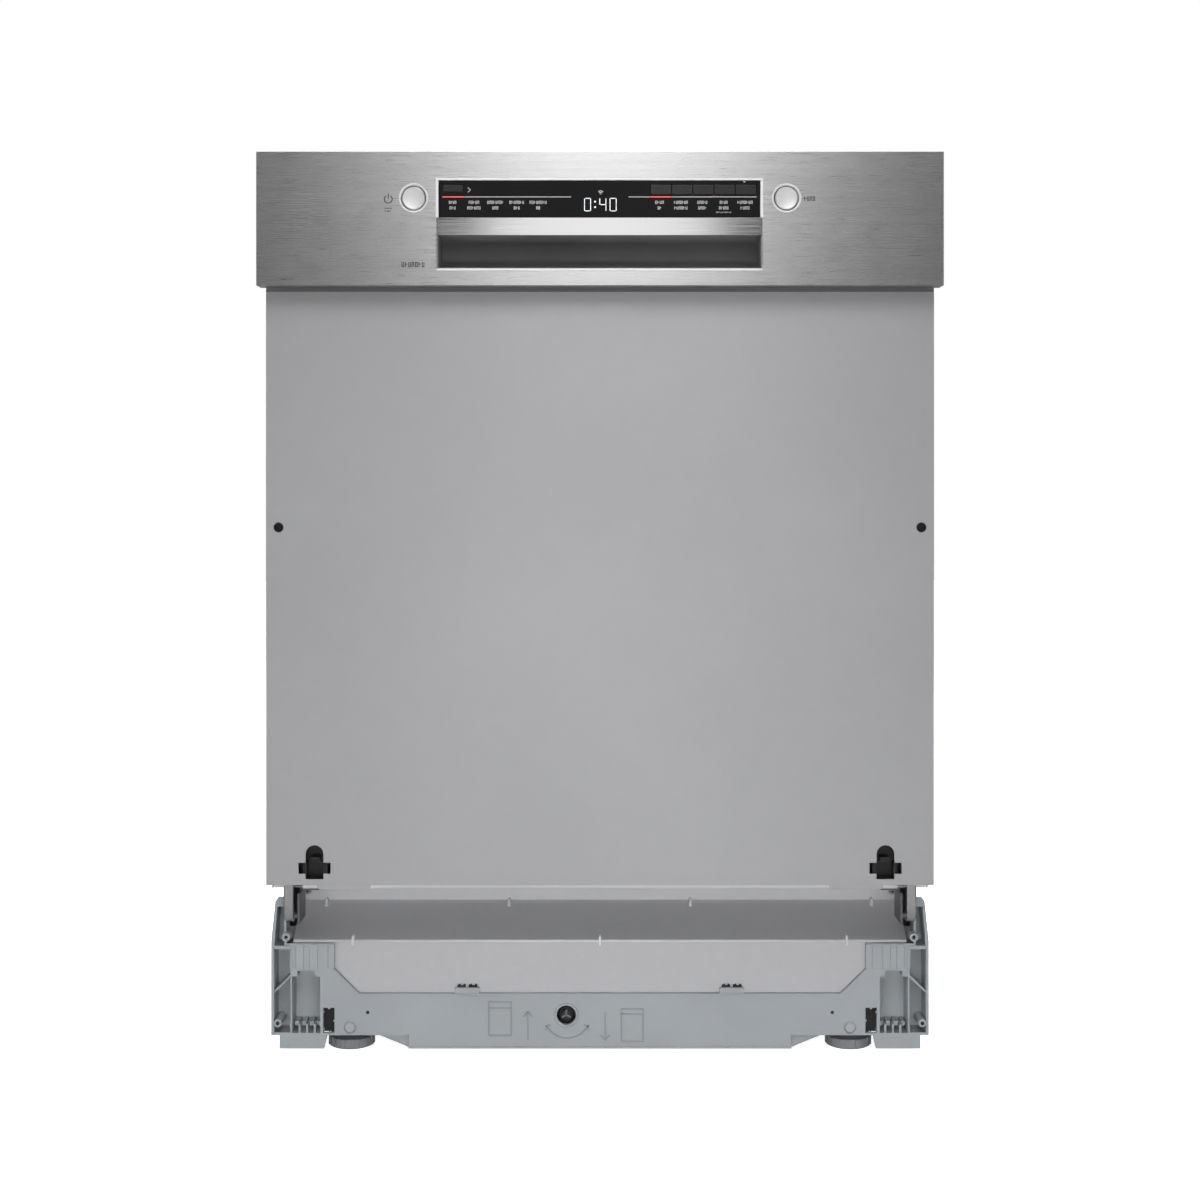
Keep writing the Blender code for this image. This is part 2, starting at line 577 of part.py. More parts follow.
def display_glass():
    x0, x1, _, z1 = window_insets()
    corner = 0.0008
    outline = ([(x0, GLASS_BOTTOM), (x1, GLASS_BOTTOM)]
               + arc(x1 - corner, z1 - corner, corner, 0, 90, 4)
               + arc(x0 + corner, z1 - corner, corner, 90, 180, 4))
    left = (LEFT_KEY[0] - GAP, LEFT_KEY[1] + GAP, -0.01, 0.01, LEFT_KEY[2] - GAP, LEFT_KEY[3] + GAP)
    last = KEY_FIRST + 5 * KEY_PITCH
    right = (KEY_FIRST - GAP, last + GAP, -0.01, 0.01, KEY_Z[0] - GAP, KEY_Z[1] + GAP)
    strip = prism(outline, "y", 0.0006, 0.0036)
    finish("display_glass", cut(strip, blocks([left, right])), "display_black")


def key(name, x0, x1, z0, z1):
    cap = (x0, x1, 0.0003, 0.0060, z0, z1)
    finish(name, blocks([cap]), "display_black", ((x0 + x1) / 2, 0.0003, (z0 + z1) / 2))


def keys():
    key("program_key", *LEFT_KEY)
    for k in range(5):
        start = KEY_FIRST + k * KEY_PITCH
        key(f"option_key_{k + 1}", start + GAP / 2, start + KEY_PITCH - GAP / 2, *KEY_Z)


def round_buttons():
    for name, x in (("power_button", -BUTTON_X), ("start_button", BUTTON_X)):
        profile = [(0, 0.0002), (BUTTON_R - 0.001, 0.0002), (BUTTON_R, 0.0012), (BUTTON_R, 0.0090),
                   (0, 0.0090)]
        cap = turned(profile, (x, 0, BUTTON_Z), "y", 40)
        finish(name, cap, "light_plastic", (x, 0.0002, BUTTON_Z), smooth=True)


def handle_bar():
    """Curved grip bar across the opening; fingers reach in below it."""
    x0, x1, _, _ = window_insets()
    z0, z1 = BAR_BOTTOM, GLASS_BOTTOM - GAP
    outline = [(0.0016, z1), (0.0008, z1 - 0.003), (0.0006, (z0 + z1) / 2), (0.0014, z0 + 0.003),
               (0.0035, z0), (0.0055, z0), (0.0060, z0 + 0.003), (0.0055, z1)]
    finish("handle_bar", prism(outline, "x", x0, x1), "chrome")


def handle_pocket():
    """Finger recess: open at the front below the bar, and hollow behind the bar."""
    x0, x1, z0, _ = window_insets()
    t = 0.0015
    top = GLASS_BOTTOM + 0.004
    shell = (x0, x1, 0.0065, 0.0460, z0, top)
    hollow = (x0 + t, x1 - t, 0.0065, 0.0460 - t, z0 + t, top - t)
    floor = (x0 + 0.0040, x1 - 0.0040, 0.0008, 0.0065, z0, z0 + t)
    finish("handle_pocket", blocks([shell, floor], [hollow]), "charcoal_plastic")


def lower_seal():
    lip = (-0.2690, 0.2690, 0.0640, DOOR_BACK - SHEET - GAP, 0.1545, 0.1640)
    finish("lower_seal", blocks([lip]), "black_rubber")


def dispenser():
    """Detergent and rinse-aid unit set in the inner panel."""
    flange = (-0.1145, 0.1145, DOOR_BACK - SHEET, 0.0770, 0.4155, 0.5745)
    body = (-0.1050, 0.1050, 0.0430, DOOR_BACK, 0.4250, 0.5650)
    chamber = (-0.0900, -0.0100, 0.0480, 0.0770, 0.4500, 0.5350)
    cap_seat = rod((0.0600, 0, 0.4950), "y", 0.0262, 0.0600, 0.09, 32)
    finish("dispenser_housing", cut(blocks([flange, body], [chamber]), cap_seat), "light_plastic")
    lid = (-0.0940, -0.0060, 0.0773, 0.0805, 0.4460, 0.5390)
    grip = (-0.0300, -0.0200, 0.0805, 0.0840, 0.4600, 0.5250)
    finish("dispenser_lid", blocks([lid, grip]), "light_plastic")
    profile = [(0, 0.0605), (0.0258, 0.0605), (0.0258, 0.0800), (0.0240, 0.0815), (0, 0.0815)]
    handle = blocks([(0.0565, 0.0635, 0.0810, 0.0850, 0.4760, 0.5140)])
    cap = fuse(turned(profile, (0.0600, 0, 0.4950), "y", 32), handle)
    finish("rinse_aid_cap", cap, "blue_plastic", (0.0600, 0.0605, 0.4950))


# ---------------------------------------------------------------- racks and spraying

def rack(x_half, y0, y1, z_floor, z_rim, across, along, w=0.004):
    """Wire basket: rim and floor frames, a floor grid and uprights."""
    parts = []
    for z in (z_floor, z_rim - w):
        parts += both((x_half - w, x_half, y0, y1, z, z + w))
        parts += [(-x_half, x_half, y, y + w, z, z + w) for y in (y0, y1 - w)]
    for k in range(1, across):
        x = -x_half + 2 * x_half * k / across - w / 2
        parts.append((x, x + w, y0, y1, z_floor, z_floor + w))
        if k % 2 == 0:
            parts += [(x, x + w, y, y + w, z_floor, z_rim) for y in (y0, y1 - w)]
    for k in range(1, along):
        y = y0 + (y1 - y0) * k / along - w / 2
        parts.append((-x_half, x_half, y, y + w, z_floor, z_floor + w))
        if k % 2 == 0:
            parts += both((x_half - w, x_half, y, y + w, z_floor, z_rim))
    parts += both((x_half - w, x_half, y0, y0 + w, z_floor, z_rim))
    parts += both((x_half - w, x_half, y1 - w, y1, z_floor, z_rim))
    return parts


def upper_rack():
    runners = both((0.2450, 0.2620, 0.1000, 0.5150, 0.4900, 0.5000))
    parts = rack(0.2470, 0.1000, 0.5150, 0.4350, 0.5600, 8, 6)
    hub = (-0.0150, 0.0150, 0.2990, 0.3310, 0.4270, 0.4390)
    pipe = (-0.0080, 0.0080, 0.3310, 0.5150, 0.4270, 0.4390)
    finish("upper_rack", blocks([*parts, *runners, hub, pipe]), "rack_coating")


def lower_rack():
    parts = rack(0.2470, 0.0960, 0.5250, LOWER_RACK_Z, 0.3200, 8, 6)
    finish("lower_rack", blocks(parts), "rack_coating")


def wheel_carriers():
    """Moulded bar under each side of the lower rack, with a leg for each wheel."""
    for name, side in (("left_wheel_carrier", -1), ("right_wheel_carrier", 1)):
        front, rear = WHEEL_Y
        bar = (0.2430, 0.2497, front - 0.0060, rear + 0.0060, 0.1850, LOWER_RACK_Z - GAP)
        legs = [(0.2430, 0.2497, y - 0.0060, y + 0.0060, 0.1620, LOWER_RACK_Z - GAP) for y in WHEEL_Y]
        pieces = [bar, *legs]
        if side < 0:
            pieces = [mirrored(p) for p in pieces]
        finish(name, blocks(pieces), "grey_plastic")


def rack_wheels():
    places = [("left", -0.2560), ("right", 0.2560)]
    for side, x in places:
        for row, y in zip(("front", "rear"), WHEEL_Y):
            profile = [(0, -0.0060), (WHEEL_R - 0.001, -0.0060), (WHEEL_R, -0.0050), (WHEEL_R, 0.0050),
                       (WHEEL_R - 0.001, 0.0060), (0, 0.0060)]
            body = turned(profile, (x, y, WHEEL_Z), "x", 28)
            finish(f"{row}_{side}_wheel", body, "grey_plastic", (x, y, WHEEL_Z), smooth=True)


def cutlery_basket():
    x0, x1, y0, y1, z0, z1 = 0.0700, 0.2300, 0.1080, 0.1720, 0.1990, 0.3150
    t = 0.003
    shell = (x0, x1, y0, y1, z0, z1)
    cells = []
    for k in range(4):
        step = (x1 - x0 - t) / 4
        for low, high in ((y0 + t, (y0 + y1 - t) / 2), ((y0 + y1 + t) / 2, y1 - t)):
            cells.append((x0 + t + k * step, x0 + (k + 1) * step, low, high, z0 + t, z1))
    finish("cutlery_basket", blocks([shell], cells), "grey_plastic")


def spray_arm(name, z, radius, hub_z):
    """Two-bladed arm, turning about its hub."""
    blade = []
    for side in (0, 180):
        a = arc(0, 0, radius, side - 6, side + 6, 4)
        root = arc(0, 0, 0.028, side + 40, side + 140, 5)
        blade += a + root
    plate = prism([(x, ARM_CENTRE_Y + y) for x, y in blade], "z", z, z + 0.010)
    hub = rod((0, ARM_CENTRE_Y, 0), "z", 0.0180, *hub_z, 24)
    finish(name, fuse(plate, hub), "grey_plastic", (0, ARM_CENTRE_Y, z))


def spraying():
    spray_arm("lower_spray_arm", 0.1700, LOWER_ARM_R, (0.1602, 0.1860))
    spray_arm("upper_spray_arm", 0.4100, UPPER_ARM_R, (0.4080, 0.4266))
    head = [(0, 0.7640), (0.0300, 0.7640), (0.0340, 0.7680), (0.0340, 0.7760), (0.0120, 0.7825), (0, 0.7825)]
    finish("roof_shower", turned(head, (0, ARM_CENTRE_Y, 0), "z", 28), "grey_plastic", smooth=True)
    riser = (-0.0120, 0.0120, 0.5290, TUB_REAR - GAP, 0.1620, 0.4500)
    nozzle = (-0.0080, 0.0080, 0.5160, 0.5291, 0.4270, 0.4390)
    finish("feed_pipe", blocks([riser, nozzle]), "grey_plastic")


def rack_rails():
    for name, side in (("left_rail", -1), ("right_rail", 1)):
        web = (0.2800, TUB_HALF - GAP, 0.0850, 0.5350, 0.4830, 0.5070)
        lips = [(0.2640, 0.2800, 0.0850, 0.5350, z, z + 0.0030) for z in (0.4830, 0.5040)]
        pieces = [web, *lips]
        if side < 0:
            pieces = [mirrored(p) for p in pieces]
        finish(name, blocks(pieces), "stainless")


def build():
    clear_scene()
    side_panels()
    rear_panel()
    top_panel()
    tub()
    tub_seal()
    water_reservoir()
    base_tray()
    front_carrier()
    toe_plate()
    feet()
    rear_foot_shaft()
    sump()
    filter_cylinder()
    salt_cap()
    pumps()
    inlet_valve()
    hinge_brackets()
    hinge_arms()
    latch()
    door_outer_panel()
    door_inner_panel()
    control_panel()
    insert_frame()
    display_glass()
    keys()
    round_buttons()
    handle_bar()
    handle_pocket()
    lower_seal()
    dispenser()
    upper_rack()
    lower_rack()
    wheel_carriers()
    rack_wheels()
    cutlery_basket()
    spraying()
    rack_rails()


build()
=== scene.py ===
"""Looks of the built-in dishwasher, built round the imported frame. Metres, +X right, +Y in, +Z up."""
import json
import math

import bmesh
import bpy
from mathutils import Matrix, Vector


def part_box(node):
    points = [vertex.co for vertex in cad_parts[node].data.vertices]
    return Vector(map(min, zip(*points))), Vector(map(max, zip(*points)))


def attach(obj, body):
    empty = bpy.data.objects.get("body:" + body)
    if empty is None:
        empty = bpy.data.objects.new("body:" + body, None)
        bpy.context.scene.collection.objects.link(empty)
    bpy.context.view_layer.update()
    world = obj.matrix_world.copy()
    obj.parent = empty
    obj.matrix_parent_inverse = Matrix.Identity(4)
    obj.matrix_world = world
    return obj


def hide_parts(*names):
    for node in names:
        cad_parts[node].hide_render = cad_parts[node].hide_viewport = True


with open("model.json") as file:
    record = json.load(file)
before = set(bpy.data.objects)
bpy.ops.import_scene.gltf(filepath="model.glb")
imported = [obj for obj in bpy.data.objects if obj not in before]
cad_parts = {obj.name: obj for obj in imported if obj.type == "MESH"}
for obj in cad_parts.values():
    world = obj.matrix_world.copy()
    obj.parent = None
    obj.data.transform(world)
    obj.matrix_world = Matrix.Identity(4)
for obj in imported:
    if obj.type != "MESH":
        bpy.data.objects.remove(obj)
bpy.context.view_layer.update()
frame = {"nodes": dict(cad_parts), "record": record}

RECORD = frame["record"]
BODY_OF = {node: body for body, nodes in RECORD["behaviour"]["bodies"].items() for node in nodes}
SLOT_OF = {entry["node"]: entry["material_slot"] for entry in RECORD["subparts"]}
DONE = set()

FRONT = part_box("control_panel")[0].y
PANEL_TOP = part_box("control_panel")[1].z
BASE_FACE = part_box("toe_plate")[0].y - 0.0043
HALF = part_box("control_panel")[1].x
ARM_AXIS = FRONT + 0.315
SIDES = (("left", -1), ("right", 1))
INK = 0.00005


# ---- materials

def new_node(tree, kind, **values):
    """A shader node with these values at its inputs; underscores stand for spaces."""
    node = tree.nodes.new(f"ShaderNode{kind}")
    put(node, **values)
    return node


def put(node, **values):
    for key, value in values.items():
        node.inputs[key.replace("_", " ")].default_value = value


class Paint:
    """A Principled material with helpers for procedural detail in object space, in metres."""

    def __init__(self, name, colour, metallic=0.0, roughness=0.5, **constants):
        self.material = bpy.data.materials.new(name)
        self.material.use_nodes = True
        self.tree = self.material.node_tree
        self.shader = self.tree.nodes["Principled BSDF"]
        self.colour = colour
        self.roughness = roughness
        put(self.shader, Base_Color=(*colour, 1.0), Metallic=metallic, Roughness=roughness, **constants)
        self.place = new_node(self.tree, "TexCoord").outputs["Object"]
        self.material.diffuse_color = (*colour, 1.0)

    def noise(self, scale, stretch=(1, 1, 1), detail=3.0):
        mapping = new_node(self.tree, "Mapping", Scale=stretch)
        texture = new_node(self.tree, "TexNoise", Scale=scale, Detail=detail)
        self.tree.links.new(self.place, mapping.inputs["Vector"])
        self.tree.links.new(mapping.outputs["Vector"], texture.inputs["Vector"])
        return texture.outputs["Fac"]

    def spread(self, value, low, high, start=0.3, end=0.7):
        ramp = new_node(self.tree, "MapRange", From_Min=start, From_Max=end, To_Min=low, To_Max=high)
        self.tree.links.new(value, ramp.inputs["Value"])
        return ramp.outputs["Result"]

    def tint(self, value, amount, start=0.3, end=0.7):
        """Colour runs from darker to lighter by the given share, following value."""
        mix = new_node(self.tree, "Mix")
        mix.data_type = "RGBA"
        mix.inputs[6].default_value = (*[c * (1 - amount) for c in self.colour], 1)
        mix.inputs[7].default_value = (*[min(1, c * (1 + amount)) for c in self.colour], 1)
        self.tree.links.new(self.spread(value, 0, 1, start, end), mix.inputs[0])
        self.tree.links.new(mix.outputs[2], self.shader.inputs["Base Color"])

    def gloss(self, value, swing):
        result = self.spread(value, self.roughness - swing, self.roughness + swing)
        self.tree.links.new(result, self.shader.inputs["Roughness"])

    def bump(self, value, distance, strength=0.5):
        node = new_node(self.tree, "Bump", Distance=distance, Strength=strength)
        self.tree.links.new(value, node.inputs["Height"])
        self.tree.links.new(node.outputs["Normal"], self.shader.inputs["Normal"])


def brushed(name, colour, roughness, anisotropy):
    """Steel with fine scratches along x."""
    paint = Paint(name, colour, 1.0, roughness, Anisotropic=anisotropy, Anisotropic_Rotation=0.25)
    stretch = (0.012, 1, 1)
    hair = paint.noise(2600, stretch, 4)
    band = paint.noise(240, stretch, 2)
    paint.tint(band, 0.035)
    paint.gloss(hair, 0.045)
    paint.bump(hair, 0.00003, 0.28)
    return paint.material


def coated_sheet(name, colour, roughness, metallic=0.75, **constants):
    """Coated steel sheet with a faint orange-peel surface and soft clouding."""
    paint = Paint(name, colour, metallic, roughness, **constants)
    cloud = paint.noise(5, detail=4)
    peel = paint.noise(1500, detail=2)
    paint.tint(cloud, 0.03)
    paint.gloss(paint.noise(60, detail=3), 0.03)
    paint.bump(peel, 0.00002, 0.25)
    return paint.material


def galvanised(name, colour, roughness):
    """Zinc-coated sheet: faint crystal patches and rolling marks."""
    paint = Paint(name, colour, 0.6, roughness)
    cells = new_node(paint.tree, "TexVoronoi", Scale=160)
    paint.tree.links.new(paint.place, cells.inputs["Vector"])
    paint.tint(cells.outputs["Color"], 0.012, 0.0, 1.0)
    paint.gloss(paint.noise(900, (0.05, 1, 1), 3), 0.05)
    paint.bump(paint.noise(700, detail=3), 0.00003, 0.3)
    return paint.material


def moulded(name, colour, roughness, grain=1800, **constants):
    """Injection-moulded plastic with a spark-eroded grain."""
    paint = Paint(name, colour, 0.0, roughness, **constants)
    paint.tint(paint.noise(14, detail=4), 0.045)
    paint.gloss(paint.noise(120, detail=2), 0.05)
    paint.bump(paint.noise(grain, detail=2), 0.00005, 0.35)
    return paint.material


def film(name, colour, roughness, shine=0.06):
    """Smooth dark surface; shine 0.06 is an anti-glare face, 1.0 a glossy one."""
    paint = Paint(name, colour, 0.0, roughness, Specular_IOR_Level=shine)
    paint.tint(paint.noise(9, detail=2), 0.15)
    paint.gloss(paint.noise(40, detail=2), 0.04)
    return paint.material


def plated(name, colour, roughness):
    """Plated metal or plastic with faint lengthwise streaks."""
    paint = Paint(name, colour, 1.0, roughness)
    streak = paint.noise(900, (0.02, 1, 1), 3)
    paint.tint(streak, 0.03)
    paint.gloss(streak, 0.04)
    return paint.material


def glowing(name, colour, strength):
    """Printed or lit marking."""
    paint = Paint(name, colour, 0.0, 0.45, Emission_Strength=strength, Emission_Color=(*colour, 1))
    paint.tint(paint.noise(400), 0.06)
    return paint.material


FINISHES = {
    "fascia_steel": brushed("fascia_steel", (0.57, 0.57, 0.57), 0.29, 0.65),
    "door_steel": coated_sheet("door_steel", (0.42, 0.42, 0.43), 0.52, 0.6, Anisotropic=0.6,
                               Anisotropic_Rotation=0.25),
    "stainless": coated_sheet("stainless", (0.66, 0.66, 0.665), 0.36, 0.5),
    "zinc_sheet": galvanised("zinc_sheet", (0.6, 0.6, 0.62), 0.42),
    "chrome": plated("chrome", (0.62, 0.62, 0.62), 0.13),
    "dark_steel": coated_sheet("dark_steel", (0.055, 0.055, 0.06), 0.45, 0.6),
    "grey_plastic": moulded("grey_plastic", (0.31, 0.33, 0.345), 0.52),
    "light_plastic": moulded("light_plastic", (0.56, 0.56, 0.545), 0.38),
    "black_plastic": moulded("black_plastic", (0.014, 0.014, 0.015), 0.42),
    # Partly painted light: the charcoal plastic is given a mid grey, lighter than its own dark colour, for
    # the light in the deep finger scoop.
    "charcoal_plastic": film("charcoal_plastic", (0.26, 0.26, 0.26), 0.38, 1.0),
    "white_plastic": moulded("white_plastic", (0.74, 0.74, 0.72), 0.42),
    "blue_plastic": moulded("blue_plastic", (0.07, 0.16, 0.32), 0.42),
    "display_black": film("display_black", (0.012, 0.012, 0.0125), 0.32),
    "black_rubber": moulded("black_rubber", (0.022, 0.022, 0.022), 0.72, 700),
    "rack_coating": moulded("rack_coating", (0.36, 0.37, 0.385), 0.42, 1200),
}
PRINT_WHITE = glowing("print_white", (0.62, 0.62, 0.62), 0.2)
PRINT_LINE = glowing("print_line", (0.42, 0.38, 0.38), 0.15)
PRINT_RED = glowing("print_red", (0.9, 0.1, 0.1), 0.75)
LIT_FIGURES = glowing("lit_figures", (0.9, 0.92, 0.95), 0.55)
PRINT_DARK = glowing("print_dark", (0.01, 0.01, 0.011), 0.0)
# Painted shade: the grey plastic darkened for the feet, which sit in shadow under the base.
FOOT_PAINTED_SHADE = moulded("foot_painted_shade", (0.2, 0.21, 0.22), 0.55)
SHADED_SHEET = galvanised("shaded_sheet", (0.16, 0.16, 0.165), 0.45)
KEY_BLACK = film("key_black", (0.018, 0.018, 0.018), 0.28, 0.4)
# Partly painted reflection: satin metal, paler and less mirror-like than chrome, so that the chrome rims
# read bright.
RIM_PAINTED_SHEEN = coated_sheet("rim_painted_sheen", (0.84, 0.84, 0.84), 0.42, 0.35)
SATIN_CAP = coated_sheet("satin_cap", (0.69, 0.69, 0.69), 0.4, 0.35)
# Painted shade: carrier grey darkened so that the raised pictograms show by their shaded edges.
RELIEF_PAINTED_SHADE = moulded("relief_painted_shade", (0.245, 0.262, 0.275), 0.52)
# Painted shadow: dark grey for the strip under the control panel, where the panel's shadow falls.
PANEL_SHADOW_GREY = moulded("panel_shadow_strip", (0.11, 0.11, 0.112), 0.6)
# Painted highlight: a lighter zinc for the lower ribs, standing for the light that they catch.
RIB_PAINTED_HIGHLIGHT = galvanised("rib_painted_highlight", (0.8, 0.8, 0.8), 0.4)
BRIGHT_SCREW = plated("bright_screw", (0.7, 0.7, 0.7), 0.24)


# ---- mesh tools

def add_bar(bm, outline, low, high, turn):
    """A four-sided bar on the given (x, y) outline from z low to z high, moved by turn."""
    v = [bm.verts.new(turn @ Vector((x, y, z))) for z in (low, high) for x, y in outline]
    bm.faces.new(v[3::-1])
    bm.faces.new(v[4:])
    for i in range(4):
        n = (i + 1) % 4
        bm.faces.new([v[i], v[n], v[4 + n], v[4 + i]])


def add_block(bm, x0, x1, y0, y1, z0, z1):
    add_bar(bm, ((x0, y0), (x1, y0), (x1, y1), (x0, y1)), z0, z1, Matrix())


def side_block(bm, s, x0, x1, *rest):
    """A block of the right side, or with s = -1 its mirror image on the left."""
    add_block(bm, *sorted((s * x0, s * x1)), *rest)


def add_prism(bm, outline, axis, low, high):
    """Extrusion of an outline along 'x' (y, z), 'y' (x, z) or 'z' (x, y)."""
    order = {"x": lambda a, b, t: (t, a, b), "y": lambda a, b, t: (a, t, b), "z": lambda a, b, t: (a, b, t)}
    place = order[axis]
    ends = [[bm.verts.new(place(a, b, t)) for a, b in outline] for t in (low, high)]
    faces = [bm.faces.new(ends[0]), bm.faces.new(ends[1][::-1])]
    for k in range(len(outline)):
        n = (k + 1) % len(outline)
        faces.append(bm.faces.new([ends[0][k], ends[0][n], ends[1][n], ends[1][k]]))
    bmesh.ops.recalc_face_normals(bm, faces=faces)


SPINS = {
    "z": Matrix(),
    "y": Matrix.Rotation(-math.pi / 2, 4, "X"),
    "x": Matrix.Rotation(math.pi / 2, 4, "Y"),
}


def add_turned(bm, profile, centre, axis="z", sides=40, closed=False):
    """Solid of revolution; profile is (radius, height) pairs."""
    turn = Matrix.Translation(centre) @ SPINS[axis]
    rings = []
    for radius, height in profile:
        count = 1 if radius == 0 else sides
        ring = []
        for k in range(count):
            angle = 2 * math.pi * k / sides
            spot = Vector((radius * math.cos(angle), radius * math.sin(angle), height))
            ring.append(bm.verts.new(turn @ spot))
        rings.append(ring)
    pairs = list(zip(rings, rings[1:])) + ([(rings[-1], rings[0])] if closed else [])
    faces = []
    for low, high in pairs:
        for k in range(sides):
            n = (k + 1) % sides
            quad = [low[k % len(low)], low[n % len(low)], high[n % len(high)], high[k % len(high)]]
            faces.append(bm.faces.new(list(dict.fromkeys(quad))))
    bmesh.ops.recalc_face_normals(bm, faces=faces)


def arc(cx, cy, radius, start, stop, steps=6):
    angles = [math.radians(start + (stop - start) * k / steps) for k in range(steps + 1)]
    return [(cx + radius * math.cos(a), cy + radius * math.sin(a)) for a in angles]


def disc(radius, low, high):
    return [(0, low), (radius, low), (radius, high), (0, high)]


def rounded(x0, x1, z0, z1, radius, steps=5):
    return (arc(x1 - radius, z1 - radius, radius, 0, 90, steps)
            + arc(x0 + radius, z1 - radius, radius, 90, 180, steps)
            + arc(x0 + radius, z0 + radius, radius, 180, 270, steps)
            + arc(x1 - radius, z0 + radius, radius, 270, 360, steps))


def mesh_object(name, bm, finish, bevel=0.0, segments=3, angle=35):
    mesh = bpy.data.meshes.new(name)
    bm.to_mesh(mesh)
    bm.free()
    mesh.materials.append(finish)
    mesh.shade_smooth()
    mesh.set_sharp_from_angle(angle=math.radians(angle))
    piece = bpy.data.objects.new(name, mesh)
    bpy.context.collection.objects.link(piece)
    if bevel:
        step = piece.modifiers.new("edges", "BEVEL")
        step.width = bevel
        step.segments = segments
        step.limit_method = "ANGLE"
        step.angle_limit = math.radians(30)
        step.harden_normals = True
    return piece


def settle(piece, body, replaces):
    """Lets the piece ride on its body and the nodes that it stands for."""
    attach(piece, body)
    if replaces:
        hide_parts(*replaces)
        DONE.update(replaces)


def show(name, bm, slot, body, replaces=(), finish=None, **edges):
    """Makes the piece, gives it its finish and settles it."""
    settle(mesh_object(name, bm, finish or FINISHES[slot], **edges), body, replaces)


def solid_of(node):
    """The CAD node's solid, welded and with its flat faces joined again."""
    bm = bmesh.new()
    bm.from_mesh(frame["nodes"][node].data)
    bmesh.ops.remove_doubles(bm, verts=bm.verts, dist=2e-6)
    bmesh.ops.dissolve_limit(bm, angle_limit=0.001, verts=bm.verts, edges=bm.edges)
    return bm


def refined(bevel, *nodes, finish=None):
    """The CAD nodes again with rounded edges."""
    for node in nodes:
        show(f"{node}_shape", solid_of(node), SLOT_OF[node], BODY_OF[node], [node], finish, bevel=bevel)


# ---- stage, light and camera

def stage():
    floor = bpy.data.meshes.new("floor")
    bm = bmesh.new()
    size = 8.0
    corners = ((-size, -size, 0), (size, -size, 0), (size, size, 0), (-size, size, 0))
    bm.faces.new([bm.verts.new(p) for p in corners])
    bm.to_mesh(floor)
    bm.free()
    ground = bpy.data.objects.new("floor", floor)
    bpy.context.collection.objects.link(ground)
    paint = Paint("floor", (0.93, 0.93, 0.93), 0.0, 0.75, Emission_Color=(1, 1, 1, 1))
    ray = new_node(paint.tree, "LightPath")
    shade = paint.spread(ray.outputs["Is Camera Ray"], 0.22, 0.93, 0, 1)
    paint.tree.links.new(shade, paint.shader.inputs["Base Color"])
    glow = paint.spread(ray.outputs["Is Camera Ray"], 0.0, 0.96, 0, 1)
    paint.tree.links.new(glow, paint.shader.inputs["Emission Strength"])
    floor.materials.append(paint.material)


def area_light(name, spot, target, size, power, mirrored=True):
    """Rectangular lamp; mirrored lamps also show in polished and brushed surfaces."""
    lamp = bpy.data.lights.new(name, "AREA")
    lamp.shape = "RECTANGLE"
    lamp.size, lamp.size_y = size
    lamp.energy = power
    item = bpy.data.objects.new(name, lamp)
    item.location = spot
    item.rotation_euler = (Vector(target) - Vector(spot)).to_track_quat("-Z", "Y").to_euler()
    item.visible_glossy = mirrored
    bpy.context.collection.objects.link(item)


def surroundings():
    """White behind the object, but dim for diffuse light and in reflections."""
    world = bpy.data.worlds.new("studio")
    world.use_nodes = True
    tree = world.node_tree
    white = (1, 1, 1, 1)
    seen = tree.nodes["Background"]
    put(seen, Color=white, Strength=1.0)
    ray = new_node(tree, "LightPath")
    shader, mirrored = (new_node(tree, "Background", Color=white, Strength=level) for level in (0.1, 0.15))
    for level, test in ((mirrored, "Is Glossy Ray"), (seen, "Is Camera Ray")):
        mix = new_node(tree, "MixShader")
        tree.links.new(ray.outputs[test], mix.inputs[0])
        tree.links.new(shader.outputs[0], mix.inputs[1])
        tree.links.new(level.outputs[0], mix.inputs[2])
        shader = mix
    tree.links.new(shader.outputs[0], tree.nodes["World Output"].inputs["Surface"])
    bpy.context.scene.world = world


def lighting():
    surroundings()
    middle = (0, 0, 0.42)
    area_light("front_strip", (0, -3.0, 0.75), (0, 0, 0.75), (0.54, 2.4), 4.9)
    area_light("key_box", (0, -1.6, 2.6), (0, FRONT, 0.45), (1.6, 0.9), 8, False)
    area_light("key_mid", (0, -1.9, 1.95), (0, FRONT, 0.45), (0.8, 0.9), 13.5)
    area_light("floor_fill", (0, -1.1, 0.04), (0, FRONT, 0.3), (1.2, 0.3), 11.5, False)
    area_light("top_box", (0, 0.4, 2.9), (0, 0.1, 0.2), (3.0, 2.0), 34)
    area_light("left_box", (-2.6, -0.9, 1.4), middle, (1.4, 1.8), 18, False)
    area_light("right_box", (2.6, -0.9, 1.4), middle, (1.4, 1.8), 18, False)
    area_light("back_box", (0, 2.8, 1.8), middle, (3.0, 1.6), 90)


def overhead_sun():
    """Even light on the floor, straight down, so that it stays pale to the horizon."""
    lamp = bpy.data.lights.new("overhead", "SUN")
    lamp.energy = 0.5
    lamp.angle = math.radians(40)
    bpy.context.collection.objects.link(bpy.data.objects.new("overhead", lamp))


def camera():
    """Level view straight at the front, with the lens shifted down a little."""
    distance, eye = 1.652, 0.517
    lens = bpy.data.cameras.new("camera")
    lens.lens = 57.0
    lens.sensor_width = 36.0
    lens.shift_y = -0.0983
    view = bpy.data.objects.new("camera", lens)
    view.location = (0, FRONT - distance, eye)
    view.rotation_euler = (math.pi / 2, 0, 0)
    bpy.context.collection.objects.link(view)
    bpy.context.scene.camera = view
    bpy.context.scene.view_settings.view_transform = "Standard"


# ---- control panel

